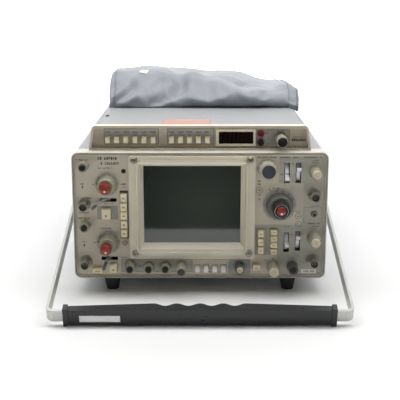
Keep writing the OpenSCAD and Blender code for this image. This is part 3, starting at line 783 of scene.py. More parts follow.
def set_stage():
    """A pale floor that sweeps up behind the object and fades to white, a dim world and lights."""
    bm = bmesh.new()
    rows = [(FRONT - FLOOR_FRONT, 0.0), (FLOOR_BACK, 0.0)]
    rows += [(FLOOR_BACK + COVE * math.sin(a), COVE - COVE * math.cos(a))
             for a in map(math.radians, range(10, 91, 10))]
    rows.append((FLOOR_BACK + COVE, 3 * COVE))
    skin(bm, [[bm.verts.new((side * FLOOR_HALF, y, z)) for side in (-1, 1)] for y, z in rows],
         closed=False)
    s = Shader("pale_floor")
    s.colour(s.mix(s.noise(3, 2), (0.83, 0.83, 0.825), (0.85, 0.85, 0.845)))
    s.set(Roughness=0.75)
    s.bsdf.inputs["Emission Color"].default_value = (1, 1, 1, 1)
    far = s.add("ShaderNodeMapRange", interpolation_type="SMOOTHSTEP")
    far.inputs["From Min"].default_value = FADE_START
    far.inputs["From Max"].default_value = FADE_END
    far.inputs["To Max"].default_value = FADE_GLOW
    length = s.add("ShaderNodeVectorMath", operation="LENGTH")
    s.link(s.place, length.inputs[0])
    s.link(length.outputs["Value"], far.inputs["Value"])
    s.link(far.outputs["Result"], s.bsdf.inputs["Emission Strength"])
    floor = staged("floor", bm, s.mat)
    floor.data.shade_smooth()

    # The table ends in front of the object: the screen mirrors that edge and the dark beyond it
    bm = bmesh.new()
    bm.faces.new([bm.verts.new((x * FLOOR_HALF, y, 0)) for x, y in (
        (-1, -5), (1, -5), (1, FRONT - FLOOR_FRONT), (-1, FRONT - FLOOR_FRONT))])
    apron = staged("apron", bm, s.mat)
    apron.visible_glossy = False

    world = bpy.data.worlds.new("studio")
    world.use_nodes = True
    sky = Nodes(world.node_tree, "Generated")
    height = sky.maths("ADD", sky.maths("MULTIPLY", sky.split(sky.place)["Z"], 0.5), 0.5)
    dim = sky.ramp(height, [(0.54, (0.02, 0.02, 0.02)), (0.72, (0.03, 0.03, 0.032))])
    seen = sky.add("ShaderNodeLightPath").outputs["Is Camera Ray"]
    sky.link(sky.mix(seen, dim, BACKDROP), world.node_tree.nodes["Background"].inputs["Color"])
    bpy.context.scene.world = world
    bpy.context.scene.view_settings.view_transform = "Standard"

    for name, back, wide, power in (
            ("near", -0.45, 0.3, 7), ("main", 0.15, 0.6, 21.5), ("far", 1.3, 0.3, 7.2)):
        area_light("overhead_" + name, (0, FRONT + back, LIGHT_UP), (0, FRONT + back, 0),
                   (2.4, wide), power)
    area_light("front_fill", (0, FRONT - 1.7, 0.60), (0, FRONT, 0.10), (1.8, 0.8), 1.4)
    for side in (-1, 1):
        area_light("side_fill", (side * 1.4, 0, 1.25), (0, 0, 0.1), (1.2, 0.7), 6.5)


set_camera()
set_stage()

# ---------------------------------------------------------------- knobs

FACE = 1


def flat_cap(r, nose):
    """The front of a knob: a rounded lip round a slightly sunk face of the second material."""
    return [(r + 0.5, nose - 0.9), (r + 0.3, nose - 0.2), (r, nose),
            (r - 0.15, nose - 0.6), (r - 0.2, nose - 0.6, FACE), (0, nose - 0.6, FACE)]


def stepped_cap(r, nose):
    """The front of a knob: a shoulder, and a narrower nose that stands out of it."""
    return [(r + 2.1, nose - 5.2), (r + 1.7, nose - 4.4), (r + 1.1, nose - 4.2),
            (r + 0.15, nose - 4.3), (r, nose - 4.2, FACE, 0.1), (r * 0.95, nose - 0.9, FACE, 0.1),
            (r * 0.85, nose - 0.2, FACE), (r * 0.6, nose, FACE), (0, nose - 0.1, FACE)]


def domed_cap(r, nose):
    """The front of a knob: a thin dark lip round a domed, finely ribbed button."""
    return [(r + 0.75, nose - 2.1), (r + 0.25, nose - 2.0),
            (r + 0.15, nose - 1.9, FACE, 0.12), (r - 0.2, nose - 0.9, FACE, 0.12),
            (r * 0.8, nose - 0.3, FACE), (r * 0.45, nose - 0.05, FACE), (0, nose, FACE)]


def turned(node, profile, mats, segments, flutes):
    """A turned piece round a node's own axis, in place of the node."""
    bm = bmesh.new()
    add_lathe(bm, centre(node), profile, segments, flutes)
    stand_in(node + "_turned", bm, mats, node)


def knob(node, base_r, body_r, face_r, mats, flutes=24, groove=0.28, cap=flat_cap):
    """A fluted knob with a small foot, a tapered body and a capped nose."""
    front = cap(face_r, -span(node)[2])
    end = front[0][1]
    turned(node, [
        (0, -6), (3, -6), (3, -1), (base_r, -0.9), (base_r, 1.2),
        (base_r - 0.3, 1.5), (body_r + 0.2, 1.7), (body_r, 2.2, 0, groove),
        (body_r * 0.97, end - 0.8, 0, groove), (body_r * 0.96, end - 0.4)] + front,
        mats, 96, flutes)


SMALL = ("ch1_position_knob", "ch2_position_knob", "intensity_knob", "focus_knob",
         "scale_light_knob")
for node_name in SMALL:
    knob(node_name, 6.0, 5.8, 3.5, ("olive", "jet"), 20, 0.25, stepped_cap)
knob("trace_rotation_knob", 5.9, 5.5, 4.3, ("olive", "blue_cap"), 20, 0.3)
knob("storage_level_knob", 5.8, 5.3, 3.6, ("dark_knob", "tip"), 20, cap=domed_cap)
knob("horizontal_position_knob", 6.4, 5.8, 3.9, ("dark_knob", "black"), 24)
knob("delay_dial", 10.4, 9.9, 7.9, ("dial", "blue_cap"), 36, 0.35)
for node_name, base_r in (("delayed_level_knob", 7.0), ("trigger_level_knob", 7.5),
                          ("holdoff_knob", 7.2)):
    knob(node_name, base_r, base_r - 0.5, 5.2, ("olive", "tip"), 26, cap=domed_cap)


def delta_time_knob():
    """The olive knob of the top unit, with a dished black face."""
    node = "delta_time_knob"
    nose = -span(node)[2] + 4
    base = -TOP_FACE
    turned(node, [
        (0, base - 4), (3, base - 4), (3, base + 0.8), (7.2, base + 0.9), (7.2, base + 2.6),
        (6.9, base + 3.2), (6.8, base + 4, 0, 0.25), (6.5, nose - 2, 0, 0.25), (6.3, nose - 1.2),
        (6.0, nose - 0.3), (5.5, nose), (5.3, nose - 0.5, 1), (2.6, nose - 1.4, 1),
        (0, nose - 1.7, 1)], ("olive", "black"), 96, 24)


def volts_knob(node, figures):
    """Skirted input switch: printed skirt, fluted body and a pale flat on top."""
    x, z = centre(node)
    bm = bmesh.new()
    add_lathe(bm, (x, z), [
        (2.1, -6), (4.4, -6), (4.4, -1, 1), (13.2, -0.9, 1), (13.4, -0.5, 1), (13.3, 0.3, 1),
        (11.2, 1.1, 1), (10.6, 1.3), (10.4, 1.8, 0, 0.4), (9.5, 14.0, 0, 0.4), (9.1, 15.0),
        (8.4, 15.8), (2.1, 15.8), (2.1, -6)], 120, 30)
    add_figures(bm, x, z, figures, 150, (12.0, 12.0), -1.0, 0.4)
    stand_in(node + "_turned", bm, ("olive", "skirt", "ink"), node)


def red_knob(node, radius, base, nose):
    """Glossy red variable knob: its sides in a darker red, painted shade, and a white dot near its
    edge, a painted highlight.
    """
    x, z = centre(node)
    bm = bmesh.new()
    add_lathe(bm, (x, z), [
        (0, base - 4), (1.9, base - 4), (1.9, base), (radius - 0.3, base),
        (radius, base + 0.4), (radius, base + 1, 0, 0.22), (radius - 0.25, nose - 1.6, 0, 0.22),
        (radius - 0.5, nose - 0.7), (radius - 0.9, nose - 0.2),
        (radius - 1.1, nose - 0.3, 2), (radius - 2.0, nose + 0.3, 2),
        (radius * 0.4, nose + 0.8, 2), (0, nose + 0.9, 2)], 96, 22)
    # Painted highlight: a small white dome below the centre, where the glossy face shines.
    add_lathe(bm, (x, z - radius * 0.36), [(0, nose - 0.3, 1), (1.3, nose - 0.3, 1),
                                           (1.25, nose + 0.8, 1), (0.7, nose + 1.1, 1),
                                           (0, nose + 1.15, 1)], 24)
    stand_in(node + "_turned", bm, ("red_shaded_side", "white_print_and_highlight", "red"), node)


def time_knobs():
    """The time switch: a printed skirt with a fluted body, and the narrower ring on top of it."""
    node = "time_skirt_knob"
    x, z = centre(node)
    bm = bmesh.new()
    add_lathe(bm, (x, z), [
        (4.5, -6), (6.4, -6), (6.4, -1, 1), (18.4, -0.9, 1), (18.6, -0.5, 1),
        (18.5, 0.5, 1), (15.8, 1.6, 1), (15.0, 1.8), (14.8, 2.4, 0, 0.5),
        (13.4, 10.6, 0, 0.5), (12.9, 11.4), (12.2, 12), (4.5, 12),
        (4.5, -6)], 144, 36)
    figures = ("5", "2", "1", ".5", ".2", ".1", "50", "20", "10", "5", "2", "1", ".5", ".2")
    add_figures(bm, x, z, figures, 160, (17.2, 17.0), -1.3, 0.5)
    stand_in(node + "_turned", bm, ("time_body", "time_skirt", "ink"), node)
    bm = bmesh.new()
    add_lathe(bm, (x, z), [
        (2.1, -6), (4.3, -6), (4.3, 12.4), (9.8, 12.4), (9.8, 13, 0, 0.3), (9.4, 25.6, 0, 0.3),
        (9.2, 26.6), (8.9, 27), (7.75, 27), (7.7, 27.05, 1), (7.15, 27.05, 1), (7.1, 27),
        (6.3, 27), (6.3, 21), (2.1, 21), (2.1, -6)], 120, 28)
    stand_in("time_ring_knob_turned", bm, ("jet", "grey_line"), "time_ring_knob")


delta_time_knob()
VOLTS = ("5", "10", "20", "50", ".1", ".2", ".5", "1", "2", "5")
volts_knob("ch1_volts_knob", VOLTS)
volts_knob("ch2_volts_knob", VOLTS)
for node_name in ("ch1_variable_knob", "ch2_variable_knob"):
    nose = -span(node_name)[2]
    red_knob(node_name, 6.8, nose - 9.8, nose)
time_knobs()
red_knob("time_variable_knob", 5.9, 21.5, 29)

# ---------------------------------------------------------------- panel printing

LINE = 0.35
PRINT = 0.06
GAP_CHANCE = 0.14
KEYS_LOW, KEYS_HIGH = 173.2, 191.6


def legend(bm, x0, x1, z0, z1, depth, mat=0, seed=1, heavy=1.0):
    """A word-like run of small strokes: blank lettering that says nothing."""
    rng = random.Random(seed)
    high = z1 - z0
    pitch = high * 0.82
    stroke = high * 0.17 * heavy
    count = max(1, int((x1 - x0) / pitch))
    start = (x0 + x1) / 2 - count * pitch / 2
    for i in range(count):
        if i and rng.random() < GAP_CHANCE:
            continue
        left = start + i * pitch + pitch * 0.1
        right = left + pitch * 0.72
        mid = (z0 + z1) / 2
        bars = [(left, left + stroke, z0, z1), (right - stroke, right, z0, z1),
                (left, right, z1 - stroke, z1), (left, right, z0, z0 + stroke),
                (left, right, mid - stroke / 2, mid + stroke / 2)]
        for a, b, c, d in [bars[0]] + rng.sample(bars[1:], 2):
            add_box(bm, a, b, depth - PRINT, depth, c, d, mat)


def tick(bm, x, z, r0, r1, angle, width, depth, mat=0):
    """A short radial line round a knob; the angle is clockwise from the top."""
    a = math.radians(angle)
    dx, dz = math.sin(a), math.cos(a)
    w = width / 2
    points = [(x + r0 * dx - w * dz, z + r0 * dz + w * dx),
              (x + r1 * dx - w * dz, z + r1 * dz + w * dx),
              (x + r1 * dx + w * dz, z + r1 * dz - w * dx),
              (x + r0 * dx + w * dz, z + r0 * dz - w * dx)]
    add_outline(bm, points, depth - PRINT, depth, mat)


def ring_line(bm, x, z, radius, width, depth, mat=0, start=0, end=360):
    """A printed circle or arc of short strokes; the angles are clockwise from the top."""
    steps = max(12, int((end - start) / 8))
    for i in range(steps):
        a = start + (end - start) * (i + 0.5) / steps
        length = radius * math.radians((end - start) / steps) * 1.08
        t = math.radians(a)
        cx, cz = x + radius * math.sin(t), z + radius * math.cos(t)
        tx, tz = math.cos(t) * length / 2, -math.sin(t) * length / 2
        nx, nz = math.sin(t) * width / 2, math.cos(t) * width / 2
        add_outline(bm, [(cx - tx - nx, cz - tz - nz), (cx + tx - nx, cz + tz - nz),
                         (cx + tx + nx, cz + tz + nz), (cx - tx + nx, cz - tz + nz)],
                    depth - PRINT, depth, mat)


LEGENDS = [
    # x0, x1, z0, z1, heavy
    (-140.5, -127, 158.3, 160.1, 1.1), (-117, -93, 159.2, 162.2, 1.7),
    (-113.3, -91, 153.4, 156.3, 1.5), (-116.5, -99.2, 148.6, 150.5, 1),
    (-140.5, -123.7, 113.6, 115.5, 1.2), (-110.2, -98.4, 107.8, 109.0, 1),
    (-139.1, -127, 96.5, 98.1, 1.1), (-140.3, -125.3, 90.0, 91.6, 1.2),
    (-114.8, -101.6, 77.8, 79.4, 1.2), (-109.6, -103.3, 74.4, 75.7, 1.1),
    (-104.5, -98, 36.6, 37.8, 1), (-92, -84.8, 43, 44.2, 1.1), (-89, -84, 126.8, 128, 1),
    (-136.5, -130.7, 130.3, 131.7, 1.2), (-136.5, -130.2, 62, 63.3, 1.2),
    (64.7, 87, 161.3, 162.6, 1.5), (90.5, 102.9, 161.3, 162.6, 1.5),
    (105.3, 112.4, 161.3, 162.6, 1.5), (118, 138.4, 161.3, 162.6, 1.5),
    (127, 135, 157.9, 159, 1.1), (127, 135, 155.2, 156.3, 1.1), (103.3, 107.3, 153.2, 154.9, 1.1),
    (82.6, 90.7, 125.2, 126.8, 1.6), (125.6, 136.7, 104.5, 105.8, 1.1),
    (110.5, 115.9, 97.2, 98.6, 1.2), (124.1, 138.4, 83.3, 84.7, 1.4),
    (128.7, 138.5, 80.3, 81.6, 1.2), (128.8, 134, 77.8, 79, 1.1), (96.1, 103, 79.8, 81.1, 1.3),
    (104.3, 107.9, 70.5, 71.8, 1.2),
    (104.3, 107.9, 67.2, 68.5, 1.2), (99.7, 103.2, 44.9, 46.1, 1), (112.5, 116, 44.9, 46.1, 1),
    (73.8, 79, 39.5, 40.6, 1.1), (105.6, 109.1, 41.8, 42.8, 1), (9.8, 15.1, 25.6, 26.6, 1.3),
    (90.9, 94.5, 141.4, 142.9, 1.7), (65.8, 69.7, 133.7, 135.2, 1.6), (65.8, 69.7, 130, 131.5, 1.7),
    (66.2, 69.6, 122.8, 124.6, 1.6), (66.2, 70, 117.1, 118.4, 1.3), (66.3, 69.9, 112.4, 114, 1.6),
    (-96.4, -92, 58.9, 60.2, 1), (-96.2, -92.2, 62.6, 63.9, 1), (-72.4, -67.7, 32.3, 33.6, 1.5),
    (-52, -48, 26.3, 27.2, 1), (-33, -28, 26.3, 27.2, 1),
]


def panel_print():
    """The lettering, fields, scales and marks of the main panel."""
    bm = bmesh.new()
    for i, (x0, x1, z0, z1, heavy) in enumerate(LEGENDS):
        legend(bm, x0, x1, z0, z1, PANEL, 0, i, heavy)
    boxes = ((-91.6, -9.3, 25.8, 41.5), (-8.6, 31.1, 25.6, 40.9), (33.2, 58.6, 23.8, 41.0),
             (-117.7, -94.6, 89.4, 105.1), (64.3, 76.8, 47.2, 78.6), (79.8, 90.5, 47.2, 78.6),
             (119.2, 140.1, 84.9, 103.6))
    for x0, x1, z0, z1 in boxes:
        add_frame(bm, x0, x1, z0, z1, LINE, PANEL - PRINT, PANEL, 1)
    for x0, x1, z0, z1 in ((-91.4, -82.6, 121.0, 123.2), (-91.4, -82.6, 66.6, 68.6),
                           (-91.7, -91.2, 66.6, 123.2), (-82.9, -82.4, 66.6, 123.2)):
        add_box(bm, x0, x1, PANEL - 0.5, PANEL, z0, z1)
    for x, z in ((-134, 127.6), (-134, 58.4)):
        add_outline(bm, [(x - 0.9, z - 0.8), (x + 0.9, z - 0.8), (x + 0.9, z + 0.9),
                         (x - 0.9, z + 0.9)], PANEL - PRINT, PANEL)
        tick(bm, x, z, -3, 3, 0, LINE, PANEL)
    add_box(bm, -88.7, -84.9, PANEL - PRINT, PANEL, 130.2, 131.6, 0)
    for z in (131, 62):
        for angle in (-92, 92):
            tick(bm, -106, z, 14.6, 17.4, angle, 0.5, PANEL)
        for angle in (-40, -24, -8, 8, 24, 40):
            tick(bm, -106, z, 14.8, 15.7, angle, LINE, PANEL, 1)
    x, z = centre("time_skirt_knob")
    tick(bm, x, z, 19.6, 23.6, 180 + 148, 0.5, PANEL)
    for angle in range(-150, 151, 20):
        tick(bm, x, z, 19.4, 20.6, angle, LINE, PANEL, 1)
    for x, z in ((112.9, 93.0), (113.2, 83.9)):
        ring_line(bm, x, z, 3.2, 0.45, PANEL)
        legend(bm, x - 1.7, x + 1.7, z - 0.8, z + 0.8, PANEL, 0, int(z), 1.6)
    ring_line(bm, 67.8, 123.6, 3.6, 0.45, PANEL)
    for node in ("intensity_knob", "focus_knob", "scale_light_knob", "holdoff_knob",
                 "horizontal_position_knob", "storage_level_knob", "delay_dial"):
        x, z = centre(node)
        x0, x1, *_ = span(node)
        r = (x1 - x0) / 2 + 0.9
        for angle in (-135, 135):
            tick(bm, x, z, r, r + 1.3, angle, 0.3, PANEL, 1)
        ring_line(bm, x, z, r + 0.1, 0.25, PANEL, 1, -120, 120)
    tick(bm, 84.8, 32.5, 8.2, 10.4, 0, 0.6, PANEL)
    piece("panel_legends", bm, ("ink", "ink_soft"))


def labels_and_small_parts():
    """A sticker, the adjustment hole, the trimmer, the probe jack and the input sockets' trim."""
    bm = bmesh.new()
    add_outline(bm, rounded(117.9, 135.4, 23.9, 29.2, 0.5), PANEL - 0.18, PANEL)
    legend(bm, 120, 133.4, 25.6, 27.6, PANEL - 0.18, 1, 77, 1.2)
    piece("service_sticker", bm, ("sticker", "ink_soft"))

    bm = bmesh.new()
    add_lathe(bm, (-86.9, 145.9), [(0, -1.9, 1), (2.2, -1.9, 1), (2.3, -1.75, 1),
                                   (2.6, -1.7), (2.8, -1.95), (2.8, -2.2)], 40)
    piece("adjustment_hole", bm, ("ink_soft", "black"))
    bm = bmesh.new()
    add_lathe(bm, (-86.8, 60.9), [
        (0, -2.2, 2), (1.4, -2.2, 2), (1.4, -1.1, 2), (2.2, -0.9), (3.0, -1.2),
        (3.2, -1.9), (3.2, -2.2)], 40)
    add_lathe(bm, (-86.8, 60.3), [(0, -2.1, 1), (1.1, -2.1, 1), (1.0, -0.7, 1),
                                  (0, -0.6, 1)], 24)
    piece("trace_trimmer", bm, ("nickel", "brass", "black"))
    bm = bmesh.new()
    add_lathe(bm, (131, 95.6), [
        (0, -2.2, 1), (3.9, -2.2), (3.9, -1.3), (3.3, -1.0), (3.0, 1.4),
        (2.6, 1.9), (1.5, 1.9), (1.3, 1.2, 1), (0, 1.2, 1)], 48)
    piece("probe_jack", bm, ("jack_grey", "black"))

    for i, (x, z) in enumerate(((-132.3, 107.3), (-132.3, 38.4), (130.4, 118.4), (131.2, 40.2))):
        bm = bmesh.new()
        add_lathe(bm, (x, z), [
            (4.82, -2.2), (7.2, -2.2), (7.35, -1.8, 0, 0.25), (7.35, 0.2, 0, 0.25),
            (7.0, 0.6), (6.0, 0.8), (5.6, 1.7), (4.82, 1.8)], 96, 32)
        add_lathe(bm, (x, z), [
            (4.82, 4.0), (5.0, 4.1), (5.05, 5.6), (4.82, 5.7)], 64)
        for side in (-1, 1):
            add_tube(bm, [at(x + side * out, -9.5, z) for out in (4.6, 5.9, 6.1)], 1.0, 16)
        add_lathe(bm, (x, z), [
            (0.8, 10.4, 1), (3.95, 10.4, 1), (3.95, 14.2, 1), (3.7, 14.4, 1),
            (3.6, 13.2, 1), (1.9, 12.6, 1), (1.7, 13.4, 1), (0.9, 13.4, 1),
            (0.8, 10.4, 1)], 48)
        piece(f"coaxial_trim_{i + 1}", bm, ("nickel", "black"))


def top_unit_print():
    """Button group fields, the readout surround and the jack field of the top unit."""
    face = TOP_FACE
    bm = bmesh.new()
    for x0, x1, count in ((-110.2, -47.4, 6), (-37.9, 16.2, 5)):
        add_box(bm, x0, x1, face - PRINT / 2, face, KEYS_LOW, KEYS_HIGH, 3)
        add_frame(bm, x0, x1, KEYS_LOW, KEYS_HIGH, 0.5, face - PRINT, face, 0)
        x, pitch = (x0 + 4.5, 10.44) if count == 6 else (x0 + 5.3, 10.25)
        for i in range(count):
            left = x + i * pitch - 3.4
            legend(bm, left, left + 7.0, 186.7, 188.2, face, 0, 300 + i, 1.3)
    for z in (190.1, 173.6):
        add_box(bm, 76, 102.5, face - PRINT, face, z - 0.25, z + 0.25, 0)
    add_box(bm, 102.2, 102.7, face - PRINT, face, 173.6, 190.1, 0)
    for seed, x0, x1, z0, z1, mat, heavy in (
            (331, 104.6, 122.8, 177.0, 179.9, 0, 1.9), (332, 106, 120, 181.2, 182.5, 1, 1.1),
            (333, 74.6, 78.6, 185.4, 186.7, 0, 1.4), (334, 88, 97, 187.7, 189.3, 0, 1.3)):
        legend(bm, x0, x1, z0, z1, face, mat, seed, heavy)
    add_box(bm, 65, 102.3, face - PRINT / 2, face, 173.8, 190, 3)
    piece("counter_legends", bm, ("ink", "ink_soft", "white_print_and_highlight", "top_field"))

    bm = bmesh.new()
    outer, inner = (18.2, 64.0, 171.8, 191.6), (21.6, 60.9, 174.6, 188.4)
    front = span("display_module")[2] - 0.3
    ring = []
    for (x0, x1, z0, z1), depth in ((outer, face), (outer, front - 0.4), (
            (outer[0] + 0.6, outer[1] - 0.6, outer[2] + 0.6, outer[3] - 0.6), front - 1.0), (
            (inner[0] - 0.6, inner[1] + 0.6, inner[2] - 0.6, inner[3] + 0.6), front - 1.0), (
            inner, front - 0.4), (inner, front + 0.2)):
        ring.append([bm.verts.new(at(x, depth, z)) for x, z in
                     ((x0, z0), (x1, z0), (x1, z1), (x0, z1))])
    skin(bm, ring)
    piece("readout_surround", bm, ("bezel",), sharp=25)
    bm = bmesh.new()
    add_box(bm, *inner[:2], front, front + 0.25, *inner[2:], 0)
    for i in range(8):
        x = inner[0] + 3.2 + i * 4.7
        add_box(bm, x - 0.15, x + 0.15, front - 0.05, front, inner[2] + 2, inner[3] - 2, 1)
    piece("readout_window", bm, ("window", "digit"))


def islands(node):
    """Limits of each separate solid of a node: x0, x1, z0, z1 and front depth, in millimetres."""
    mesh = NODES[node].data
    root = list(range(len(mesh.vertices)))

    def find(i):
        while root[i] != i:
            root[i] = root[root[i]]
            i = root[i]
        return i

    seen = {}
    for i, v in enumerate(mesh.vertices):
        key = tuple(round(c, 6) for c in v.co)
        root[find(i)] = find(seen.setdefault(key, i))
    for edge in mesh.edges:
        a, b = edge.vertices
        root[find(a)] = find(b)
    groups = {}
    for i, v in enumerate(mesh.vertices):
        groups.setdefault(find(i), []).append(v.co)
    out = []
    for points in groups.values():
        xs, ys, zs = ([p[k] / MM for p in points] for k in range(3))
        out.append((min(xs), max(xs), min(zs), max(zs), min(ys) - FRONT / MM))
    return sorted(out)


def button_marks():
    """A short printed bar or square on the face of each button of the main panel."""
    for node, wide, high, drop in (
            ("display_mode_buttons", 0.34, 0.16, 0.0), ("sweep_mode_buttons", 0.4, 0.13, 0.0),
            ("trigger_mode_buttons", 0.45, 0.13, 0.0), ("invert_button", 0.22, 0.2, -0.16),
            ("bandwidth_button", 0.5, 0.16, -0.1), ("trigger_view_button", 0.26, 0.18, -0.14),
            ("beam_find_button", 0.5, 0.16, -0.08)):
        bm = bmesh.new()
        for x0, x1, z0, z1, front in islands(node):
            x, z = (x0 + x1) / 2, (z0 + z1) / 2 + drop * (z1 - z0)
            w, h = (x1 - x0) * wide / 2, (z1 - z0) * high / 2
            add_outline(bm, rounded(x - w, x + w, z - h, z + h, min(w, h) * 0.4, 2),
                        front - 0.08, front + 0.2)
        piece(node + "_marks", bm, ("mark",), node)


def wedge_buttons(node, mat, low, back):
    """Push buttons whose faces slope back above a low lip, so that they catch the light."""
    bm = bmesh.new()
    for x0, x1, z0, z1, front in islands(node):
        tall = z1 - z0
        profile = ((front + 12, z0), (front + 0.3, z0), (front, z0 + 0.3), (front, z0 + low * tall),
                   (front + 0.5 * back, z0 + (0.45 + low / 2) * tall), (front + back, z1 - 0.2),
                   (front + 12, z1))
        rings = [[bm.verts.new(at(x, depth, z)) for depth, z in profile]
                 for x in (x0 + 0.05, x1 - 0.05)]
        skin(bm, rings)
        bm.faces.new(rings[0])
        bm.faces.new(rings[1][::-1])
    obj = stand_in(node + "_caps", bm, (mat,), node, sharp=30)
    ease = obj.modifiers.new("ease", "BEVEL")
    ease.width = 0.35 * MM
    ease.segments = 2
    ease.limit_method = "ANGLE"


wedge_buttons("counter_function_buttons", "ivory", 0.35, 3.2)
wedge_buttons("counter_range_buttons", "ivory", 0.35, 3.2)
wedge_buttons("storage_buttons", "white", 0.06, 6.5)
button_marks()
panel_print()
labels_and_small_parts()
top_unit_print()


# ---------------------------------------------------------------- pouch

# Sections along x in millimetres: x, height of the crest above the case, depth of the crest, depth
# of the contact line, depth of the nose, height of the nose, and sag of the end
POUCH_SECTIONS = [
    (-120.5, 27, 206, 159.5, 158.5, 6, -4), (-118.5, 37, 208, 158.5, 157.5, 6, -3),
    (-115, 41.5, 210, 157.5, 156.5, 5, -1.5), (-107, 43, 213, 156.5, 155.5, 3.5, 0),
    (-92, 42.5, 218, 156, 155, 2.5, 0), (-69, 42, 220, 156, 154.5, 2, 0),
    (-40, 38.5, 222, 157, 154, 3, 0), (-6, 33.5, 222, 160, 153, 4.5, 0),
    (12, 31, 224, 162, 152, 5.2, 0), (31, 31.5, 229, 163, 151.5, 5.5, 0),
    (60, 27.5, 226, 162, 152, 5.2, 0), (93, 24.5, 216, 160, 153.5, 4.5, 0),
    (108, 26, 204, 158.5, 154.5, 4, 0), (117, 27.5, 200, 158, 155, 4, -2),
    (122, 25, 198, 158.5, 156, 4, -4), (127, 20, 194, 160, 158, 4, -6),
    (129.5, 12, 190, 163, 161, 3, -7),
]
# Folds: two points (x, height), how far the vinyl moves out there, and the width of the fold
# on its upper and on its lower side
POUCH_FOLDS = [
    ((-4, 36), (24, 27), 4.4, 9, 12), ((24, 27), (48, 19), 4.6, 8, 11),
    ((48, 19), (72, 13), 3.8, 7, 9), ((10, 34), (52, 24), -4.6, 5, 6),
    ((52, 24), (94, 27), -4.0, 5, 5), ((74, 15), (106, 16), 2.6, 8, 7),
    ((60, 20), (100, 23), 1.6, 5, 6), ((-29, 35), (-23, 25), -4.6, 9, 7),
    ((-23, 25), (-33, 17), -4.2, 7, 8), ((-33, 17), (-53, 11), -3.2, 6, 8),
    ((-53, 11), (-76, 4), -2.2, 5, 7), ((-44, 34), (-40, 22), 3.2, 10, 10),
    ((-12, 32), (-14, 16), 2.4, 10, 10), ((-45, 20), (-70, 12), 2.4, 7, 7),
    ((-108, 8), (-87, 22), -6.0, 6, 5), ((-105, 2), (-86, 15), 3.6, 6, 5),
    ((-100, 20), (-84, 32), 2.6, 9, 6), ((-96, 1), (-74, 10), -1.6, 5, 5),
    ((-115, 30), (-96, 38), 1.6, 8, 7), ((96, 8), (116, 8), -1.6, 4, 4),
    ((-66, 40), (-20, 36), 1.2, 5, 5), ((100, 22), (113, 22), -1.6, 6, 6),
]
POUCH_LIFT = 2.0
POUCH_BACK = 8.0
POUCH_TAIL = 420
POUCH_LEFT = -119.5
POUCH_RIGHT = 129.5
POUCH_COLUMNS = 84
POUCH_POINTS = 118
POUCH_EDGE = 12
PIPED_POINTS = 102
CREST_BACK = 240
FOLD_END = 9
CLOTH_FRAMES = 20
CLOTH_CAP = 0.0024


def between(rows, x):
    """Smooth interpolation of a table of numbers against its first column."""
    for k in range(len(rows) - 1):
        if x <= rows[k + 1][0]:
            break
    p0, p1, p2, p3 = rows[max(k - 1, 0)], rows[k], rows[k + 1], rows[min(k + 2, len(rows) - 1)]
    f = min(1.0, max(0.0, (x - p1[0]) / (p2[0] - p1[0])))
    out = []
    for a, b, c, d in zip(p0[1:], p1[1:], p2[1:], p3[1:]):
        m0, m1 = (c - a) / 2, (d - b) / 2
        out.append((2 * f ** 3 - 3 * f ** 2 + 1) * b + (f ** 3 - 2 * f ** 2 + f) * m0
                   + (3 * f ** 2 - 2 * f ** 3) * c + (f ** 3 - f ** 2) * m1)
    return out


def catmull(points, count):
    """A smooth closed loop through points, resampled evenly along its length."""
    dense = []
    total = len(points)
    for i in range(total):
        a, b, c, d = (points[(i + k - 1) % total] for k in range(4))
        for s in range(12):
            f = s / 12
            dense.append(tuple(0.5 * (2 * q + (r - p) * f + (2 * p - 5 * q + 4 * r - s3) * f * f
                                      + (3 * q - p - 3 * r + s3) * f ** 3)
                               for p, q, r, s3 in zip(a, b, c, d)))
    lengths = [0.0]
    for a, b in zip(dense, dense[1:] + dense[:1]):
        lengths.append(lengths[-1] + math.dist(a, b))
    out, k = [], 0
    for i in range(count):
        want = lengths[-1] * i / count
        while lengths[k + 1] < want:
            k += 1
        f = (want - lengths[k]) / max(1e-9, lengths[k + 1] - lengths[k])
        a, b = dense[k], dense[(k + 1) % len(dense)]
        out.append(tuple(p + (q - p) * f for p, q in zip(a, b)))
    return out


def pouch_section(x):
    """Depth and height of the pouch's outline at x, starting from the front contact line."""
    crest, crest_d, contact, nose_d, nose_h, sag = between(POUCH_SECTIONS, x)
    crest += POUCH_LIFT
    nose_h += POUCH_LIFT * 0.7
    contact += POUCH_BACK
    nose_d += POUCH_BACK
    rear = POUCH_TAIL - 0.12 * abs(x)
    points = [
        (contact, sag * 0.9), (nose_d + 4, 0.25 * nose_h + sag * 0.6), (nose_d, nose_h + sag * 0.4),
        (nose_d + 5, nose_h + 0.26 * (crest - nose_h)),
        (nose_d + 0.42 * (crest_d - nose_d), nose_h + 0.62 * (crest - nose_h)),
        (nose_d + 0.72 * (crest_d - nose_d), nose_h + 0.90 * (crest - nose_h)), (crest_d, crest),
        (crest_d + 34, crest - 1.5), (crest_d + 80, crest * 0.90), (crest_d + 125, crest * 0.76),
        (rear - 40, crest * 0.55), (rear - 12, crest * 0.34), (rear, crest * 0.16 + sag * 0.5),
        (rear - 6, sag), (rear - 60, sag), ((rear + contact) / 2, sag), (contact + 30, sag),
    ]
    return catmull(points, POUCH_POINTS)


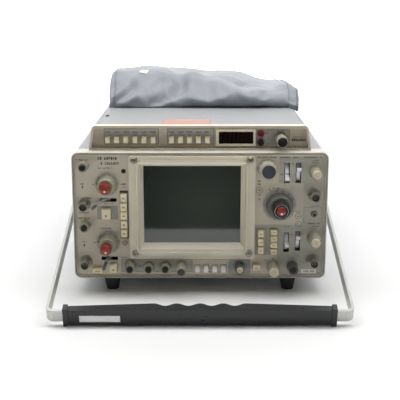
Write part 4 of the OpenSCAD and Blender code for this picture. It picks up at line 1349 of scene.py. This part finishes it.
def fold_push(x, high, depth):
    """How far the vinyl stands out of its plain form at a point of the front and top."""
    push = 0.0
    for (x0, h0), (x1, h1), amount, upper, lower in POUCH_FOLDS:
        dx, dh = x1 - x0, h1 - h0
        length = math.hypot(dx, dh)
        along = ((x - x0) * dx + (high - h0) * dh) / length ** 2
        across = ((high - h0) * dx - (x - x0) * dh) / length
        beyond = max(0.0, -along, along - 1) * length
        width = upper if across > 0 else lower
        push += amount * math.exp(-(across / width) ** 2 - (beyond / FOLD_END) ** 2)
    # The folds die away behind the crest, where broad rolls lie across the top instead
    fade = 1 / (1 + math.exp((depth - CREST_BACK) / 12))
    roll = 2.2 * math.sin(x / 31 + depth / 47) + 1.6 * math.sin(x / 17 - depth / 29 + 2)
    fine = noise.noise(Vector((x / 26, depth / 15, high / 11))) * 1.3
    fine += noise.noise(Vector((x / 9, depth / 8, high / 6 + 5))) * 0.35
    return push * fade + roll * (1 - fade) * min(1.0, (POUCH_TAIL - depth) / 60) + fine


def settle(bag):
    """Lets the vinyl find its own fine wrinkles: a cloth run with light pressure and slack."""
    start = [v.co.copy() for v in bag.data.vertices]
    held = [i for i, co in enumerate(start) if co.z < (HUMP_TOP + 1.2) * MM]
    bag.vertex_groups.new(name="held").add(held, 1.0, "REPLACE")
    cloth = bag.modifiers.new("cloth", "CLOTH")
    for key, value in {
            "quality": 6, "mass": 0.25, "tension_stiffness": 30, "compression_stiffness": 20,
            "shear_stiffness": 12, "bending_stiffness": 0.6, "shrink_min": -0.035,
            "use_pressure": True, "uniform_pressure_force": 0.8,
            "vertex_group_mass": "held"}.items():
        setattr(cloth.settings, key, value)
    cloth.settings.effector_weights.gravity = 0
    cloth.collision_settings.use_collision = False
    scene = bpy.context.scene
    for step in range(1, CLOTH_FRAMES + 1):
        scene.frame_set(step)
    settled = bag.evaluated_get(bpy.context.evaluated_depsgraph_get())
    after = [v.co.copy() for v in settled.data.vertices]
    bag.modifiers.remove(cloth)
    scene.frame_set(1)
    for vertex, old, new in zip(bag.data.vertices, start, after):
        move = new - old
        if move.length > CLOTH_CAP:
            move *= CLOTH_CAP / move.length
        vertex.co = old + move
    bag.vertex_groups.clear()


def make_pouch():
    """The accessory pouch: a lofted vinyl bag that sags on the case in folds."""
    xs = [POUCH_LEFT + (POUCH_RIGHT - POUCH_LEFT) * i / POUCH_COLUMNS
          for i in range(POUCH_COLUMNS + 1)]
    bm = bmesh.new()
    loops = []
    for x in xs:
        section = pouch_section(x)
        total = len(section)
        loop = []
        for k, (depth, high) in enumerate(section):
            a, b = section[k - 1], section[(k + 1) % total]
            t = Vector((b[0] - a[0], b[1] - a[1]))
            normal = Vector((-t.y, t.x)).normalized()
            lift = min(1.0, max(0.0, (high - 1.5) / 5))
            edge = min(1.0, (x - POUCH_LEFT) / POUCH_EDGE, (POUCH_RIGHT - x) / POUCH_EDGE)
            push = fold_push(x, high, depth) * lift * (0.35 + 0.65 * max(0.0, edge))
            loop.append(bm.verts.new(at(x, depth + normal.x * push,
                                        HUMP_TOP + 0.4 + high + normal.y * push)))
        loops.append(loop)
    skin(bm, loops)
    for loop, bulge in ((loops[0], -1.8), (loops[-1], 1.8)):
        middle = sum((v.co for v in loop), Vector()) / len(loop)
        inner = [bm.verts.new(v.co.lerp(middle, 0.25) + Vector((bulge * 0.7 * MM, 0, 0)))
                 for v in loop]
        core = bm.verts.new(middle + Vector((bulge * MM, 0, 0)))
        for k in range(len(loop)):
            m = (k + 1) % len(loop)
            bm.faces.new((loop[k], loop[m], inner[m], inner[k]))
            bm.faces.new((inner[k], inner[m], core))
    bm.verts.index_update()
    outlines = {name: [v.index for v in loops[index]] for name, index in
                (("right_hem", -2), ("right_seam", -6), ("left_seam", 3))}
    bag = piece("accessory_pouch", bm, ("pouch",), sharp=180)
    settle(bag)
    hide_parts("pouch")
    for name, outline in outlines.items():
        path = [bag.data.vertices[i].co.copy() for i in outline[:PIPED_POINTS]]
        radius = 1.5 if name == "right_hem" else 1.0
        bm = bmesh.new()
        add_tube(bm, path, radius, 8)
        piece(name + "_piping", bm, ("piping",))
    smooth = bag.modifiers.new("smooth", "SUBSURF")
    smooth.levels = smooth.render_levels = 1
    return bag


TAB_GAP = 0.9
TAB_THICK = 1.0
STICKER_GAP = 0.25
STICKER_THICK = 0.15


def thicken(obj, thickness):
    """Gives a single skin of faces a thickness in millimetres."""
    thick = obj.modifiers.new("thick", "SOLIDIFY")
    thick.thickness = thickness * MM
    thick.offset = -1


def snap_tab(bag):
    """A small pale hook tab stitched to the top of the pouch, laid on its surface."""
    bm = bmesh.new()
    middle_x, middle_d = -74.6, 205.0
    grid = 6
    rows = []
    for i in range(grid + 1):
        row = []
        for j in range(grid + 1):
            u, v = i / grid * 2 - 1, j / grid * 2 - 1
            x, d = middle_x + u * 5.6 + v * 1.6, middle_d + v * 4.4 - u * 1.5
            _, place, normal, _ = bag.ray_cast(at(x, d, CAST_FROM), Vector((0, 0, -1)))
            row.append(bm.verts.new(place + normal * TAB_GAP * MM))
        rows.append(row)
    skin(bm, rows, closed=False)
    thicken(piece("pouch_tab", bm, ("sticker",)), TAB_THICK)


def decal(name, node, x0, x1, a0, a1, down, mat, body=ROOT):
    """A thin sticker laid on a CAD node's surface, cast on it from above or from the front."""
    across, along = 16, 4
    bm = bmesh.new()
    rows = []
    for i in range(across + 1):
        row = []
        for j in range(along + 1):
            x = x0 + (x1 - x0) * i / across
            a = a0 + (a1 - a0) * j / along
            start = at(x, a, CAST_FROM) if down else at(x, -CAST_FROM, a)
            ray = Vector((0, 0, -1)) if down else Vector((0, 1, 0))
            _, place, _, _ = NODES[node].ray_cast(start, ray)
            row.append(bm.verts.new(place - ray * STICKER_GAP * MM))
        rows.append(row)
    skin(bm, rows, closed=False)
    thicken(piece(name, bm, (mat,), body, sharp=60), STICKER_THICK)


def add_back_lathe(bm, where, profile, segments, flutes=0):
    """A turned part that stands out of the rear panel; forward counts to the rear."""
    add_lathe(bm, where, [(r, -(REAR + out), *rest) for r, out, *rest in profile], segments, flutes)


SOCKET_Z = 112
REAR_SCREWS = ((-112, 36), (112, 36), (-112, 136), (112, 136), (0, 36), (0, 136),
               (-90, 60), (-26, 60), (-90, 124), (-26, 124))
SIDE_SCREW_SIDES = 28


def rear_details():
    """Screws, sockets, a fuse cap, a ground post and blank plates on the rear panel."""
    bm = bmesh.new()
    for x, z in REAR_SCREWS:
        add_back_lathe(bm, (x, z), [(0, -0.5), (3.2, -0.5), (3.2, 0.5),
                                    (2.7, 1.1), (1.6, 1.5), (0, 1.6)], 32)
        add_cross(bm, x, z, 20 + x, 1.7, 0.25, REAR + 0.8, REAR + 1.66)
    piece("rear_screws", bm, ("steel", "ink"))

    bm = bmesh.new()
    for x in (30, 54):
        add_back_lathe(bm, (x, SOCKET_Z), [
            (0.8, -0.5, 1), (7.4, -0.5), (7.4, 1.6), (6.9, 2.1), (4.9, 2.2), (4.8, 11.2),
            (4.4, 11.6), (4.0, 11.4), (3.9, 9.4, 1), (0.8, 9.2, 1), (0.8, 10.4), (0, 10.4)], 48)
        for side in (-1, 1):
            add_tube(bm, [at(x + side * out, REAR + 7, SOCKET_Z) for out in (4.5, 5.8, 6.0)],
                     1.0, 12)
    piece("rear_coaxial_sockets", bm, ("nickel", "black"))

    bm = bmesh.new()
    add_back_lathe(bm, (60, 52), [
        (0, -0.5), (8.4, -0.5), (8.4, 1.4), (7.6, 2.2), (6.6, 2.4),
        (6.5, 3.0, 0, 0.35), (6.2, 9.5, 0, 0.35), (5.6, 10.6), (0, 10.6)], 80, 20)
    add_outline(bm, rounded(56, 64, 51.5, 52.5, 0.4, 2), REAR + 10.2, REAR + 10.7, 1)
    piece("fuse_cap", bm, ("black", "ink_soft"))
    bm = bmesh.new()
    add_back_lathe(bm, (78, SOCKET_Z), [
        (0, -0.5), (5.2, -0.5), (5.2, 0.6), (2.0, 0.8), (2.0, 4.0), (4.6, 4.2),
        (4.7, 5.0, 0, 0.3), (4.4, 9.6, 0, 0.3), (3.8, 10.4), (0, 10.5)], 72, 18)
    piece("ground_post", bm, ("brass",))

    bm = bmesh.new()
    add_outline(bm, rounded(-16, 50, 60, 92, 2), REAR - 0.2, REAR + 0.5, 0)
    for row in range(4):
        legend(bm, -10, 44 - 9 * (row % 2), 84 - 7 * row, 86.4 - 7 * row, REAR + 0.56, 1, 500 + row)
    add_outline(bm, rounded(28, 48, 44, 56, 1.5), REAR - 0.2, REAR + 1.2, 2)
    add_outline(bm, rounded(34, 42, 48, 52, 0.6), REAR + 0.6, REAR + 1.5, 3)
    for x, x1 in ((20, 66), (69, 88)):
        legend(bm, x, x1, 124.5, 126.7, REAR + 0.06, 1, int(x))
    add_frame(bm, 18, 91, 98, 130, 0.4, REAR - 0.1, REAR + 0.06, 1)
    piece("rear_plates", bm, ("sticker", "ink_soft", "black", "white_print_and_highlight"))


def side_details():
    """Slotted screws near the corners of both sides of the case."""
    bm = bmesh.new()
    for side in (-1, 1):
        x = side * (span("cabinet_shell")[1] - 0.1)
        for depth, z in ((38, 40), (38, 148), (422, 40), (422, 148)):
            ring = []
            for out, r in ((-0.4, 3.4), (0.5, 3.3), (1.0, 2.6), (1.25, 1.2)):
                ring.append([bm.verts.new(at(x + side * out, depth + r * math.cos(a),
                                             z + r * math.sin(a)))
                             for a in (2 * math.pi * k / SIDE_SCREW_SIDES
                                       for k in range(SIDE_SCREW_SIDES))])
            skin(bm, ring)
            bm.faces.new(ring[-1])
            slot = sorted((x + side * 0.9, x + side * 1.36))
            add_box(bm, *slot, depth - 1.9, depth + 1.9, z - 0.25, z + 0.25, 1)
    piece("side_screws", bm, ("steel", "ink"))


rear_details()
side_details()
snap_tab(make_pouch())
# A dark pad under the case's slot, so that no light shows through it
bm = bmesh.new()
add_box(bm, -117.2, -109.6, 86.5, 104.5, HUMP_TOP - 4.4, HUMP_TOP - 1.7)
piece("slot_shadow_pad", bm, ("black",))
decal("grip_label", "handle_grip", -127.6, -84.4, 5.4, 13.2, False, "white_label", "handle")
decal("case_top_sticker", "cabinet_shell", -44, 13.0, 25, 65, True, "salmon")
